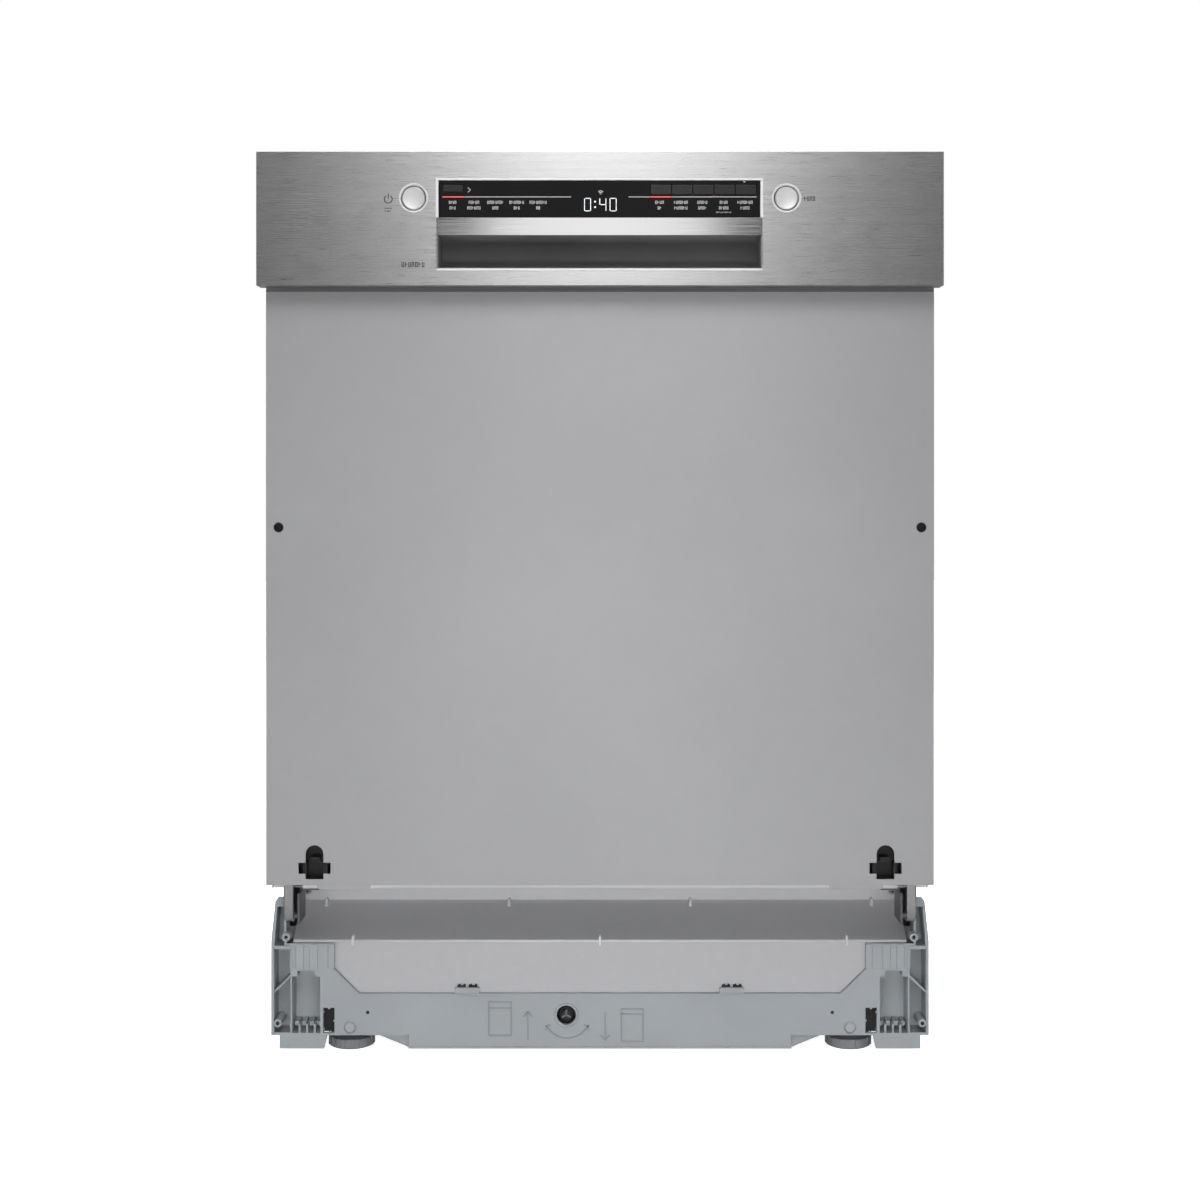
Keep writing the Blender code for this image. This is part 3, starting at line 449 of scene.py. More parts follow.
def dashes(bm, cx, cz, width, y, height, count):
    """A short row of marks standing for a label."""
    pitch = width / count
    for k in range(count):
        x0 = cx - width / 2 + k * pitch
        share = 0.62 + 0.16 * math.sin(3.1 * k + 40 * cx)
        add_block(bm, x0, x0 + pitch * share, y - INK, y, cz - height / 2, cz + height / 2)


def ring_mark(bm, cx, cz, radius, thick, y, start, stop, steps=20):
    outline = arc(cx, cz, radius, start, stop, steps) + arc(cx, cz, radius - thick, stop, start, steps)
    add_prism(bm, outline, "y", y - INK, y)


SEGMENTS = {"0": "abcdef", "4": "bcfg"}


def digit(bm, figure, x, z, width, height, y):
    """Seven-segment figure; x, z is its lower left corner."""
    t = width * 0.14
    half = height / 2
    bars = {"a": (x + t, x + width - t, z + height - t, z + height), "d": (x + t, x + width - t, z, z + t),
            "g": (x + t, x + width - t, z + half - t / 2, z + half + t / 2),
            "b": (x + width - t, x + width, z + half, z + height - t / 2),
            "c": (x + width - t, x + width, z + t / 2, z + half),
            "e": (x, x + t, z + t / 2, z + half), "f": (x, x + t, z + half, z + height - t / 2)}
    for name in SEGMENTS[figure]:
        x0, x1, z0, z1 = bars[name]
        add_block(bm, x0 + 0.00015, x1 - 0.00015, y - INK, y, z0 + 0.00015, z1 - 0.00015)


def label(bm, cx, cz, width, y, height=0.0026, stroke=0.00036, spacing=0.0019):
    """A line of small upright, boxed and barred marks standing for one printed word."""
    count = max(1, round(width / spacing))
    pitch = width / count
    low, high = cz - height / 2, cz + height / 2
    for k in range(count):
        x0 = cx - width / 2 + k * pitch
        x1 = x0 + pitch * 0.72
        kind = (k * 5 + round(abs(cx) * 2000)) % 4
        bars = [(x0, x0 + stroke, low, high)]
        if kind != 1:
            bars.append((x1 - stroke, x1, low, high))
        if kind in (0, 2):
            bars.append((x0, x1, low, low + stroke))
        if kind in (0, 3):
            bars.append((x0, x1, high - stroke, high))
        if kind == 1:
            bars.append((x0, x1, cz, cz + stroke))
        for a, b, c, d in bars:
            add_block(bm, a, b, y - INK, y, c, d)


def display_marks():
    """Printed lines, label marks and lit figures on the glass."""
    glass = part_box("display_glass")[0].y - 0.00003
    white, line, red, lit = bmesh.new(), bmesh.new(), bmesh.new(), bmesh.new()
    z = PANEL_TOP - 0.0395
    for bm, x0, x1 in ((line, -0.118, -0.0252), (red, -0.1372, -0.1183), (line, 0.0249, 0.043),
                       (red, 0.0433, 0.0619), (line, 0.0622, 0.1364)):
        add_block(bm, x0, x1, glass - INK, glass, z - 0.0004, z + 0.0004)
    left = ((0.0068, 0.0055), (0.0095, 0.012), (0.0145, 0.0055), (0.0132, 0.0055), (0.0152, 0.0036))
    right = ((0.008, 0.0034), (0.0124, 0.0118), (0.009, 0.0074), (0.0072, 0.0086), (0.0136, 0.0082))
    for first, rows in ((-0.128, left), (0.052, right)):
        for k, (upper, lower) in enumerate(rows):
            cx = first + 0.0186 * k
            label(white, cx, PANEL_TOP - 0.0442, upper, glass)
            label(white, cx, PANEL_TOP - 0.0491, lower, glass)
    label(white, 0.052 + 0.0186 * 3, PANEL_TOP - 0.0529, 0.0136, glass, 0.001, 0.00022)
    for slope in (-1, 1):
        z = PANEL_TOP - 0.0334
        outline = [(-0.1152, z + slope * 0.0021), (-0.113, z), (-0.1124, z), (-0.1146, z + slope * 0.0021)]
        add_prism(white, outline, "y", glass - INK, glass)
    dashes(white, 0.1262, PANEL_TOP - 0.0262, 0.003, glass, 0.001, 1)
    base = PANEL_TOP - 0.0521
    for figure, x in (("0", -0.0139), ("4", -0.0006), ("0", 0.0083)):
        digit(lit, figure, x, base, 0.0062, 0.0118, glass)
    for z in (base + 0.003, base + 0.0078):
        add_block(lit, -0.005, -0.0036, glass - INK, glass, z, z + 0.0014)
    for radius in (0.0008, 0.0022, 0.0036):
        ring_mark(white, 0.0006, PANEL_TOP - 0.0376, radius, 0.0006, glass, 50, 130, 8)
    for name, bm, finish in (("print", white, PRINT_WHITE), ("print_line", line, PRINT_LINE),
                             ("print_red", red, PRINT_RED), ("figures", lit, LIT_FIGURES)):
        show(f"display_{name}", bm, "display_black", "door", finish=finish)


def touch_keys():
    refined(0.0005, "program_key", *(f"option_key_{k}" for k in range(1, 6)), finish=KEY_BLACK)


def round_buttons():
    """Dished caps in bright rings, and the marks printed on the steel."""
    for node in ("power_button", "start_button"):
        low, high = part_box(node)
        cx, cz, r = (low.x + high.x) / 2, (low.z + high.z) / 2, (high.x - low.x) / 2
        bm = bmesh.new()
        profile = [(0, 0.0009), (r * 0.45, 0.0007), (r * 0.78, 0.0003), (r * 0.9, 0.0), (r * 0.97, 0.0003),
                   (r, 0.0012), (r, high.y - low.y), (0, high.y - low.y)]
        add_turned(bm, profile, (cx, low.y, cz), "y", 56)
        show(f"{node}_cap", bm, "light_plastic", BODY_OF[node], [node], finish=SATIN_CAP)
        ring = bmesh.new()
        profile = [(r + 0.0009, 0.008), (r + 0.0009, 0.001), (r + 0.0013, 0.0002), (r + 0.002, -0.0004),
                   (r + 0.0026, -0.0004), (r + 0.0028, -0.0001), (r + 0.0017, 0.0002), (r + 0.0017, 0.008)]
        add_turned(ring, profile, (cx, FRONT, cz), "y", 64, closed=True)
        # The rings' pale colour is partly painted reflection.
        show(f"{node}_ring", ring, "chrome", "door", finish=RIM_PAINTED_SHEEN)
    mark = bmesh.new()
    y = FRONT - 0.00003
    cx, cz = -0.1841, PANEL_TOP - 0.0415
    ring_mark(mark, cx, cz, 0.0039, 0.0009, y, 125, 415)
    add_block(mark, cx - 0.00045, cx + 0.00045, y - INK, y, cz + 0.0004, cz + 0.0048)
    dashes(mark, cx, PANEL_TOP - 0.0495, 0.0066, y, 0.0011, 4)
    dashes(mark, cx, PANEL_TOP - 0.052, 0.006, y, 0.0011, 3)
    label(mark, -0.1622, PANEL_TOP - 0.0984, 0.0206, y, 0.0044, 0.00066, 0.0029)
    label(mark, 0.1826, PANEL_TOP - 0.0411, 0.0102, y, 0.004, 0.00062, 0.0025)
    show("panel_print", mark, "fascia_steel", "door", finish=PRINT_DARK)


def grip_bar():
    """Plated bar with a soft crown and a stub at each end."""
    low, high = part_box("handle_bar")
    bm = bmesh.new()
    mid, tall = (low.z + high.z) / 2, (high.z - low.z) / 2
    crown = [(FRONT + 0.0008 + 0.0002 * t * t, mid + tall * t) for t in [1 - k / 8 for k in range(17)]]
    back = [(high.y - 0.0004, low.z), (high.y, low.z + 0.001),
            (high.y, high.z - 0.001), (high.y - 0.0004, high.z)]
    add_prism(bm, crown + back, "x", low.x, high.x)
    for x0, x1 in ((low.x - 0.002, low.x + 0.0002), (high.x - 0.0002, high.x + 0.002)):
        add_prism(bm, [(y - 0.0012, z) for y, z in crown] + [(FRONT, low.z), (FRONT, high.z)], "x", x0, x1)
    show("grip_bar", bm, "chrome", "door", ["handle_bar"], bevel=0.0003, angle=50)


def surround():
    """Bright rim of satin metal whose pale colour is partly painted reflection: a narrow lip over the panel
    round the glass and one line below the recess.
    """
    low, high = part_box("insert_frame")
    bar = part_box("handle_bar")[1].z
    bm = bmesh.new()
    lip, reach, rim = 0.0005, 0.0011, 0.0012
    front, back = FRONT - lip, high.y
    bands = [(low.x - reach, high.x + reach, high.z - rim, high.z + 0.0007),
             (low.x - reach, low.x + rim, bar + 0.0002, high.z - rim),
             (high.x - rim, high.x + reach, bar + 0.0002, high.z - rim),
             (low.x - 0.0003, high.x + 0.0003, low.z - 0.0012, low.z + rim * 0.5)]
    for x0, x1, z0, z1 in bands:
        add_block(bm, x0, x1, front, FRONT + 0.0004, z0, z1)
    for x0, x1, z0, z1 in ((low.x, high.x, high.z - rim, high.z), (low.x, high.x, low.z, low.z + 0.0005),
                           (low.x, low.x + rim, bar, high.z), (high.x - rim, high.x, bar, high.z)):
        add_block(bm, x0, x1, FRONT, back, z0, z1)
    show("surround", bm, "chrome", "door", ["insert_frame"], finish=RIM_PAINTED_SHEEN)


def pocket():
    """Deep scoop with a softly curved back and floor, reaching the edge of the panel's opening."""
    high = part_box("handle_pocket")[1]
    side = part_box("insert_frame")
    x0, x1 = side[0].x - 0.0001, side[1].x + 0.0001
    front, back, t = FRONT + 0.0012, high.y, 0.0012
    floor, roof, r = side[0].z + 0.0006, high.z, 0.012
    inner = [(front, roof - t), (back - t - 0.002, roof - t),
             (back - t, roof - t - 0.002), (back - t, floor + t + r)]
    inner += [(back - t - r + r * math.cos(a), floor + t + r - r * math.sin(a))
              for a in [math.radians(15 * k) for k in range(1, 6)]]
    inner += [(back - t - r, floor + t), (front, floor + t * 0.6)]
    outer = [(front, floor), (back, floor), (back, roof),
             (front + 0.006, roof), (front + 0.006, roof - 0.0004)]
    bm = bmesh.new()
    add_prism(bm, inner + outer, "x", x0, x1)
    for a, b in ((x0, x0 + 0.0006), (x1 - 0.0006, x1)):
        add_prism(bm, [(front, floor), (back, floor), (back, roof), (front, roof)], "x", a, b)
    # The scoop's mid-grey charcoal plastic is partly painted light.
    show("finger_scoop", bm, "charcoal_plastic", "door", ["handle_pocket"], angle=40)


def control_area():
    refined(0.0007, "control_panel")
    refined(0.0004, "display_glass")
    grip_bar()
    surround()
    pocket()
    display_marks()
    touch_keys()
    round_buttons()


# ---- door

def panel_shadow_strip():
    """Painted shadow: a thin dark strip on the door sheet right below the control panel, standing for the
    shadow that the panel casts.
    """
    low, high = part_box("door_outer_panel")
    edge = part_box("control_panel")[0].z
    height, inset, proud = 0.0034, 0.0005, 0.0005
    bm = bmesh.new()
    add_block(bm, low.x + inset, high.x - inset, low.y - proud, low.y + 0.0002, edge - height, edge)
    show("panel_shadow_strip", bm, "black_rubber", "door", finish=PANEL_SHADOW_GREY)


def slot_cups():
    """Dark pockets behind the two hook slots, with a catch in each, and cups in the side holes; their black
    is painted shade for the dark inside.
    """
    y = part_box("door_outer_panel")[0].y
    for name, side in SIDES:
        x = side * 0.2517
        bm = bmesh.new()
        add_block(bm, x - 0.0165, x + 0.0165, y + 0.017, y + 0.018, 0.165, 0.201)
        for x0, x1, z0, z1 in ((-0.0165, -0.0155, 0.165, 0.201), (0.0155, 0.0165, 0.165, 0.201),
                               (-0.0165, 0.0165, 0.2, 0.201), (-0.0165, 0.0165, 0.165, 0.166)):
            add_block(bm, x + x0, x + x1, y + 0.0014, y + 0.0175, z0, z1)
        add_block(bm, x - 0.004, x + 0.004, y + 0.006, y + 0.0175, 0.181, 0.185)
        add_block(bm, x - 0.011, x - 0.0075, y + 0.004, y + 0.0175, 0.1665, 0.18)
        add_block(bm, x + 0.0075, x + 0.011, y + 0.004, y + 0.0175, 0.1665, 0.18)
        show(f"{name}_hook_pocket", bm, "black_plastic", "door", bevel=0.0003)
        bm = bmesh.new()
        add_turned(bm, [(0, 0.0078), (0.0043, 0.0078), (0.0043, 0.0013), (0.0065, 0.0013), (0.0065, 0.009),
                        (0, 0.009)], (side * 0.2834, y, 0.477), "y", 28)
        show(f"{name}_screw_cup", bm, "black_plastic", "door")


def inner_door():
    """Liner with a pressed field and drip edges."""
    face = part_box("door_inner_panel")[1].y
    refined(0.0005, "door_inner_panel")
    bm = bmesh.new()
    beads = [(-0.262, 0.262, 0.722, 0.73), (-0.262, 0.262, 0.196, 0.204), (-0.262, -0.254, 0.215, 0.711),
             (0.254, 0.262, 0.215, 0.711), (-0.235, -0.14, 0.64, 0.646), (0.14, 0.235, 0.64, 0.646)]
    for x0, x1, z0, z1 in beads:
        add_prism(bm, rounded(x0, x1, z0, z1, 0.0028), "y", face - 0.0002, face + 0.0016)
    show("liner_beads", bm, "stainless", "door", bevel=0.0007)


def dispenser():
    refined(0.0009, "dispenser_housing", "dispenser_lid")
    refined(0.0007, "rinse_aid_cap")
    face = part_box("dispenser_housing")[1].y
    bm = bmesh.new()
    add_turned(bm, [(0.03, 0.0), (0.03, 0.001), (0.0275, 0.001), (0.0275, 0.0)],
               (0.06, face, 0.495), "y", 48, closed=True)
    for k in range(4):
        x = 0.048 + 0.008 * k
        add_block(bm, x, x + 0.0035, face - 0.0002, face + 0.0008, 0.44, 0.452)
    show("dispenser_relief", bm, "light_plastic", "door", bevel=0.0002)
    bm = bmesh.new()
    add_turned(bm, [(0, 0.0008), (0.0048, 0.0006), (0.006, -0.0002), (0, -0.0002)],
               (0.087, face, 0.55), "y", 32)
    show("level_window", bm, "display_black", "door")


def door():
    refined(0.0006, "door_outer_panel")
    panel_shadow_strip()
    slot_cups()
    inner_door()
    dispenser()
    refined(0.0022, "left_hinge_arm", "right_hinge_arm", finish=BRIGHT_SCREW)
    low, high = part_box("lower_seal")
    bm = bmesh.new()
    outline = [(low.y, low.z + 0.003), (low.y + 0.002, low.z), (high.y - 0.002, low.z),
               (high.y, low.z + 0.003), (high.y, high.z), (high.y - 0.003, high.z),
               (high.y - 0.0035, high.z - 0.005), (low.y, high.z - 0.006)]
    add_prism(bm, outline, "x", low.x, high.x)
    show("lower_lip", bm, "black_rubber", "door", ["lower_seal"], bevel=0.0005)


# ---- base front

def folded_toe_plate():
    """Z-folded sheet with rounded bends and stiffening ribs in both folds."""
    low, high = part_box("toe_plate")
    face, back, t = low.y, high.y - 0.001, 0.001
    fold_front, fold_back = 0.0995, 0.124
    bm = bmesh.new()
    slope = math.atan2(fold_back - fold_front, back - face)
    front = [(back, high.z), (back, fold_back + 0.002), (back - 0.0012, fold_back + 0.0002),
             (back - 0.003, fold_back - 0.003 * math.tan(slope)),
             (face + 0.003, fold_front + 0.003 * math.tan(slope)), (face + 0.0008, fold_front + 0.0001),
             (face, fold_front - 0.002)]
    rear = [(y + t, z - t * 0.5) for y, z in front]
    rear[0] = (back + t, high.z)
    rear[-1] = (face + t, fold_front - 0.002)
    add_prism(bm, front + rear[::-1], "x", low.x, high.x)
    add_block(bm, -0.25, 0.25, face, face + t, low.z, fold_front - 0.0019)
    show("toe_sheet", bm, "zinc_sheet", "cabinet", ["toe_plate"], bevel=0.0002, angle=60)
    upper, lower = bmesh.new(), bmesh.new()
    for x in (-0.2552, -0.0849, 0.0844, 0.2537):
        outline = [(x - 0.002, fold_back - 0.0035), (x + 0.002, fold_back - 0.0035),
                   (x + 0.0014, fold_back + 0.003), (x, fold_back + 0.0052),
                   (x - 0.0014, fold_back + 0.003)]
        add_prism(upper, outline, "y", back - 0.006, back + 0.0004)
    for x in (-0.2252, 0.0, 0.2247):
        outline = rounded(x - 0.001, x + 0.001, fold_front - 0.005, fold_front + 0.0044, 0.0009)
        add_prism(lower, outline, "y", face - 0.0012, face + 0.004)
    show("toe_upper_ribs", upper, "zinc_sheet", "cabinet", bevel=0.0009)
    # The lower ribs take the lighter zinc as a painted highlight.
    show("toe_lower_ribs", lower, "zinc_sheet", "cabinet", finish=RIB_PAINTED_HIGHLIGHT, bevel=0.0004)
    for name, x in (("left", -0.2733), ("right", 0.2733)):
        screw(f"{name}_toe_screw", (x, back, 0.1345), 0.0036, "cabinet")


def screw(name, spot, radius, body):
    """Pan-head screw with a cross recess, facing the front."""
    bm = bmesh.new()
    x, y, z = spot
    profile = [(0, -0.0018), (radius * 0.55, -0.0017), (radius * 0.9, -0.0009), (radius, 0.0), (0, 0.0004)]
    add_turned(bm, profile, spot, "y", 28)
    show(name, bm, "chrome", body, finish=BRIGHT_SCREW)
    # Painted shade: the cross recess is drawn as a black cross set into the head.
    cross = bmesh.new()
    arm = radius * 0.55
    for w, h in ((arm, 0.0004), (0.0004, arm)):
        add_block(cross, x - w, x + w, y - 0.00195, y - 0.0012, z - h, z + h)
    show(f"{name}_cross", cross, "black_plastic", body)


def clips():
    """Spring clips with toothed lips on the beam's upper edge."""
    y = BASE_FACE + 0.0043
    for name, x0, x1 in (("left", -0.1309, -0.111), ("right", 0.1098, 0.1297)):
        teeth = bmesh.new()
        middle = (x0 + x1) / 2
        for a, b in ((x0 + 0.001, middle - 0.0012), (middle + 0.0012, x1 - 0.0006)):
            third = (b - a) / 3
            outline = [(a, 0.0568), (a, 0.059), (a + third, 0.0602), (a + 1.3 * third, 0.0588),
                       (a + 2 * third, 0.0588), (b - 0.7 * third, 0.0602), (b, 0.0592), (b, 0.0568)]
            add_prism(teeth, outline, "y", y - 0.0022, y - 0.0003)
        show(f"{name}_clip", teeth, "black_plastic", "cabinet", bevel=0.0002)
        tab = bmesh.new()
        outline = rounded(x0 - 0.0012, x1 + 0.0012, 0.0495, 0.0571, 0.001)
        add_prism(tab, outline, "y", BASE_FACE, y - 0.0004)
        show(f"{name}_clip_tab", tab, "grey_plastic", "cabinet", bevel=0.0003)


def carrier_details(bm):
    """Ribs, grooves, bosses and teeth on the moulded carrier."""
    y = BASE_FACE
    for s in (-1, 1):
        def block(x0, x1, proud, z0, z1):
            side_block(bm, s, x0, x1, y - proud, y + 0.001, z0, z1)

        for x0, x1 in ((0.2697, 0.2764), (0.2569, 0.2636), (0.2415, 0.2467)):
            block(x0, x1, 0.0011, 0.0745, 0.0968)
        for x0, x1 in ((0.2772, 0.2822), (0.2642, 0.2691), (0.2476, 0.2561)):
            block(x0, x1, 0.0005, 0.0748, 0.0945)
        block(0.2799, 0.2814, 0.0012, 0.016, 0.093)
        block(0.2964, 0.2986, 0.0012, 0.016, 0.095)
        block(0.2816, 0.2962, 0.001, 0.0926, 0.0953)
        for x in (0.2733, 0.2665, 0.2595):
            side_block(bm, s, x - 0.0009, x + 0.0009, y + 0.0004, y + 0.012, 0.0158, 0.0238)
        for x in (0.2766, 0.2698, 0.2629, 0.2564):
            side_block(bm, s, x - 0.0018, x + 0.0018, y + 0.007, y + 0.0236, 0.0212, 0.0248)
        for x0, x1, z0, z1 in ((0.2455, 0.2474, 0.0376, 0.0392), (0.2412, 0.2425, 0.0262, 0.0276),
                               (0.2507, 0.252, 0.034, 0.0352), (0.2507, 0.252, 0.0186, 0.0198),
                               (0.2458, 0.247, 0.0158, 0.0168)):
            side_block(bm, s, x0, x1, y + 0.0002, y + 0.004, z0, z1)
        edge = [(s * 0.2418, 0.0745), (s * 0.2186, 0.052), (s * 0.217, 0.052), (s * 0.217, 0.05),
                (s * 0.2196, 0.05), (s * 0.244, 0.0735)]
        add_prism(bm, edge, "y", y - 0.0012, y + 0.001)
        tube = [(0, -0.006), (0.0018, -0.006), (0.0018, -0.0075),
                (0.0038, -0.0075), (0.0042, 0.001), (0, 0.001)]
        add_turned(bm, tube, (s * 0.2843, y, 0.1047), "y", 28)
        add_turned(bm, [(0, -0.003), (0.004, -0.003), (0.0058, 0.0), (0.0058, 0.001), (0, 0.001)],
                   (s * 0.2272, y, 0.0215), "y", 32)
    add_block(bm, -0.217, 0.217, y - 0.001, y + 0.001, 0.0502, 0.0519)
    add_block(bm, -0.174, 0.174, y - 0.0012, y + 0.001, 0.0022, 0.004)
    add_turned(bm, [(0.0088, 0.0), (0.0088, -0.0014), (0.0106, -0.0014), (0.0114, 0.0006), (0.0088, 0.0006)],
               (-0.0306, y, 0.0325), "y", 44, closed=True)


def raised_symbols():
    """Moulded pictograms round the adjuster: cabinets, arrows and a turning arrow, in a darker grey that is
    painted shade along their edges.
    """
    y = BASE_FACE
    proud, half_width = 0.0009, 0.0006
    bm = bmesh.new()

    def stroke(ax, az, bx, bz):
        d = Vector((bx - ax, bz - az)).normalized() * half_width
        n = Vector((-d.y, d.x))
        outline = [(ax + n.x, az + n.y), (bx + n.x, bz + n.y), (bx - n.x, bz - n.y), (ax - n.x, az - n.y)]
        add_prism(bm, outline, "y", y - proud, y + 0.0005)

    def frame_mark(x0, x1, z0, z1, bar):
        corners = [(x0, z0), (x1, z0), (x1, z1), (x0, z1), (x0, z0)]
        for a, b in zip(corners, corners[1:]):
            stroke(*a, *b)
        stroke(x0, bar, x1, bar)

    def arrow(x, z0, z1, head):
        stroke(x, z0, x, z1)
        for side in (-1, 1):
            stroke(x, head, x + side * 0.004, head + (0.0045 if head == z0 else -0.0045))

    frame_mark(-0.101, -0.0807, 0.0139, 0.0447, 0.0388)
    frame_mark(0.0194, 0.0393, 0.0085, 0.0382, 0.0336)
    arrow(-0.0656, 0.01, 0.0355, 0.0355)
    arrow(0.0048, 0.0097, 0.0345, 0.0097)
    sweep = [(-0.0298 + 0.0215 * math.cos(a), 0.033 + 0.0215 * math.sin(a))
             for a in [math.radians(208 + 124 * k / 10) for k in range(11)]]
    for (ax, az), (bx, bz) in zip(sweep, sweep[1:]):
        stroke(ax, az, bx, bz)
    for (x, z), s in ((sweep[0], 1), (sweep[-1], -1)):
        stroke(x, z, x + s * 0.0042, z + 0.0002)
        stroke(x, z, x - s * 0.0004, z - 0.0044)
    show("raised_symbols", bm, "grey_plastic", "cabinet", finish=RELIEF_PAINTED_SHADE)


def small_holes():
    """Black discs in the small round holes of the pods, and a black panel at the back of a recess on each
    side: painted shade for their dark insides.
    """
    bm = bmesh.new()
    for s in (-1, 1):
        for x, z, radius, proud in ((0.2112, 0.0348, 0.0016, 0.0001), (0.2272, 0.0205, 0.0015, 0.0022),
                                    (0.2925, 0.0259, 0.0017, 0.0041), (0.2843, 0.1047, 0.0016, 0.0062)):
            add_turned(bm, disc(radius, -proud, 0.001), (s * x, BASE_FACE, z), "y", 20)
        side_block(bm, s, 0.2415, 0.2517, BASE_FACE + 0.006, BASE_FACE + 0.007, 0.0161, 0.0389)
    show("small_holes", bm, "black_plastic", "cabinet")


def foot(node):
    """Disc with a castellated rim, stepped neck and threaded stem."""
    low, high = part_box(node)
    cx, cy, r = (low.x + high.x) / 2, (low.y + high.y) / 2, (high.x - low.x) / 2
    bm = bmesh.new()
    rim = [(0, low.z), (r - 0.0022, low.z), (r - 0.0012, 0.001), (r - 0.0012, 0.0085)]
    neck = [(r - 0.006, 0.0098), (0.011, 0.0104), (0.0105, 0.0115), (0.0068, 0.0116), (0.006, 0.012)]
    turns = range(int((high.z - 0.014) / 0.0009))
    thread = [(0.006 - 0.0007 * (k % 2), 0.013 + 0.0009 * k) for k in turns]
    tip = [(0.005, high.z), (0, high.z)]
    add_turned(bm, rim + neck + thread + tip, (cx, cy, 0), "z", 48)
    teeth = 20
    for k in range(teeth):
        a = 2 * math.pi * k / teeth
        turn = Matrix.Translation((cx, cy, 0)) @ Matrix.Rotation(a, 4, "Z")
        half = 0.0022
        outline = ((r - 0.004, -half), (r - 0.0002, -half * 0.8),
                   (r - 0.0002, half * 0.8), (r - 0.004, half))
        add_bar(bm, outline, 0.0012, 0.009, turn)
    # The feet take the darker grey plastic as painted shade.
    show(f"{node}_shape", bm, "grey_plastic", BODY_OF[node], [node], finish=FOOT_PAINTED_SHADE)


def adjuster():
    """Round head with a raised hexagon and a three-armed slot mark, on a long rod."""
    low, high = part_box("rear_foot_shaft")
    cx, cz = (low.x + high.x) / 2, (low.z + high.z) / 2
    face = low.y + 0.002
    bm = bmesh.new()
    profile = [(0, face + 0.003), (0.006, face + 0.003), (0.0072, face + 0.002),
               (0.0072, 0.0065 + low.y), (0.0035, 0.011 + low.y), (0.0035, high.y - 0.026),
               (0.005, high.y - 0.024), (0.005, high.y), (0, high.y)]
    add_turned(bm, profile, (cx, 0, cz), "y", 40)
    add_turned(bm, [(0, face), (0.0044, face), (0.005, face + 0.0008), (0.005, face + 0.004),
                    (0, face + 0.004)], (cx, 0, cz), "y", 6)
    show("adjuster_rod", bm, "dark_steel", "rear_foot_shaft", ["rear_foot_shaft"])
    star = bmesh.new()
    for angle in (90, 210, 330):
        a = math.radians(angle)
        tip = Vector((math.cos(a), math.sin(a))) * 0.0046
        n = Vector((-math.sin(a), math.cos(a))) * 0.0007
        outline = [(cx + n.x, cz + n.y), (cx + tip.x + n.x, cz + tip.y + n.y),
                   (cx + tip.x - n.x, cz + tip.y - n.y), (cx - n.x, cz - n.y)]
        add_prism(star, outline, "y", face - 0.0008, face + 0.001)
    show("adjuster_star", star, "chrome", "rear_foot_shaft", finish=BRIGHT_SCREW)


def base_front():
    refined(0.0004, "front_carrier")
    bm = bmesh.new()
    carrier_details(bm)
    show("carrier_relief", bm, "grey_plastic", "cabinet", bevel=0.0002)
    folded_toe_plate()
    clips()
    raised_symbols()
    small_holes()
    for node in ("left_foot", "right_foot", "rear_foot"):
        foot(node)
    adjuster()
    refined(0.0003, "left_hinge_bracket", "right_hinge_bracket", finish=SHADED_SHEET)


# ---- outer body

def beads_on(name, pads, axis, plane, height):
    """Raised rounded pads on a flat zinc-coated sheet; pads are (u0, u1, v0, v1)."""
    bm = bmesh.new()
    for u0, u1, v0, v1 in pads:
        radius = min(u1 - u0, v1 - v0) * 0.45
        low, high = sorted((plane - math.copysign(0.0002, height), plane + height))
        add_prism(bm, rounded(u0, u1, v0, v1, radius), axis, low, high)
    show(name, bm, "zinc_sheet", "cabinet", bevel=abs(height) * 0.7)


def outer_body():
    refined(0.0005, "left_side_panel", "right_side_panel", "rear_panel", "top_panel")
    side_pads = [(FRONT + 0.12, FRONT + 0.53, z, z + 0.012) for z in (0.19, 0.76)]
    side_pads += [(y, y + 0.012, 0.23, 0.735) for y in (FRONT + 0.125, FRONT + 0.515)]
    for name, s in SIDES:
        beads_on(f"{name}_side_beads", side_pads, "x", s * HALF, s * 0.0012)
    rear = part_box("rear_panel")[1].y
    rear_pads = [(-0.24, 0.24, z, z + 0.014) for z in (0.2, 0.74)]
    rear_pads += [(x, x + 0.014, 0.235, 0.72) for x in (-0.24, 0.226)] + [(-0.16, 0.16, 0.455, 0.469)]
    beads_on("rear_beads", rear_pads, "y", rear, 0.0012)
    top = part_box("top_panel")[1].z
    top_pads = [(-0.22, 0.22, FRONT + 0.17, FRONT + 0.182), (-0.22, 0.22, FRONT + 0.46, FRONT + 0.472),
                (-0.006, 0.006, FRONT + 0.21, FRONT + 0.43)]
    beads_on("top_beads", top_pads, "z", top, 0.0008)
    refined(0.0008, "base_tray")
    tray_low, tray_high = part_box("base_tray")
    root, crest = tray_high.x - 0.0005, tray_high.x + 0.0012
    ribs = bmesh.new()
    for s in (-1, 1):
        for k in range(9):
            y0 = tray_low.y + 0.02 + k * 0.048
            side_block(ribs, s, root, crest, y0, y0 + 0.0022, 0.018, 0.144)
        side_block(ribs, s, root, crest, tray_low.y + 0.004, tray_high.y - 0.004, 0.078, 0.0802)
    for k in range(11):
        x0 = -0.262 + k * 0.0524
        if 0.13 < x0 < 0.2:
            continue
        add_block(ribs, x0 - 0.0011, x0 + 0.0011, tray_high.y - 0.0005, tray_high.y + 0.0012, 0.018, 0.096)
    show("tray_ribs", ribs, "grey_plastic", "cabinet", bevel=0.0003)


# ---- wash chamber

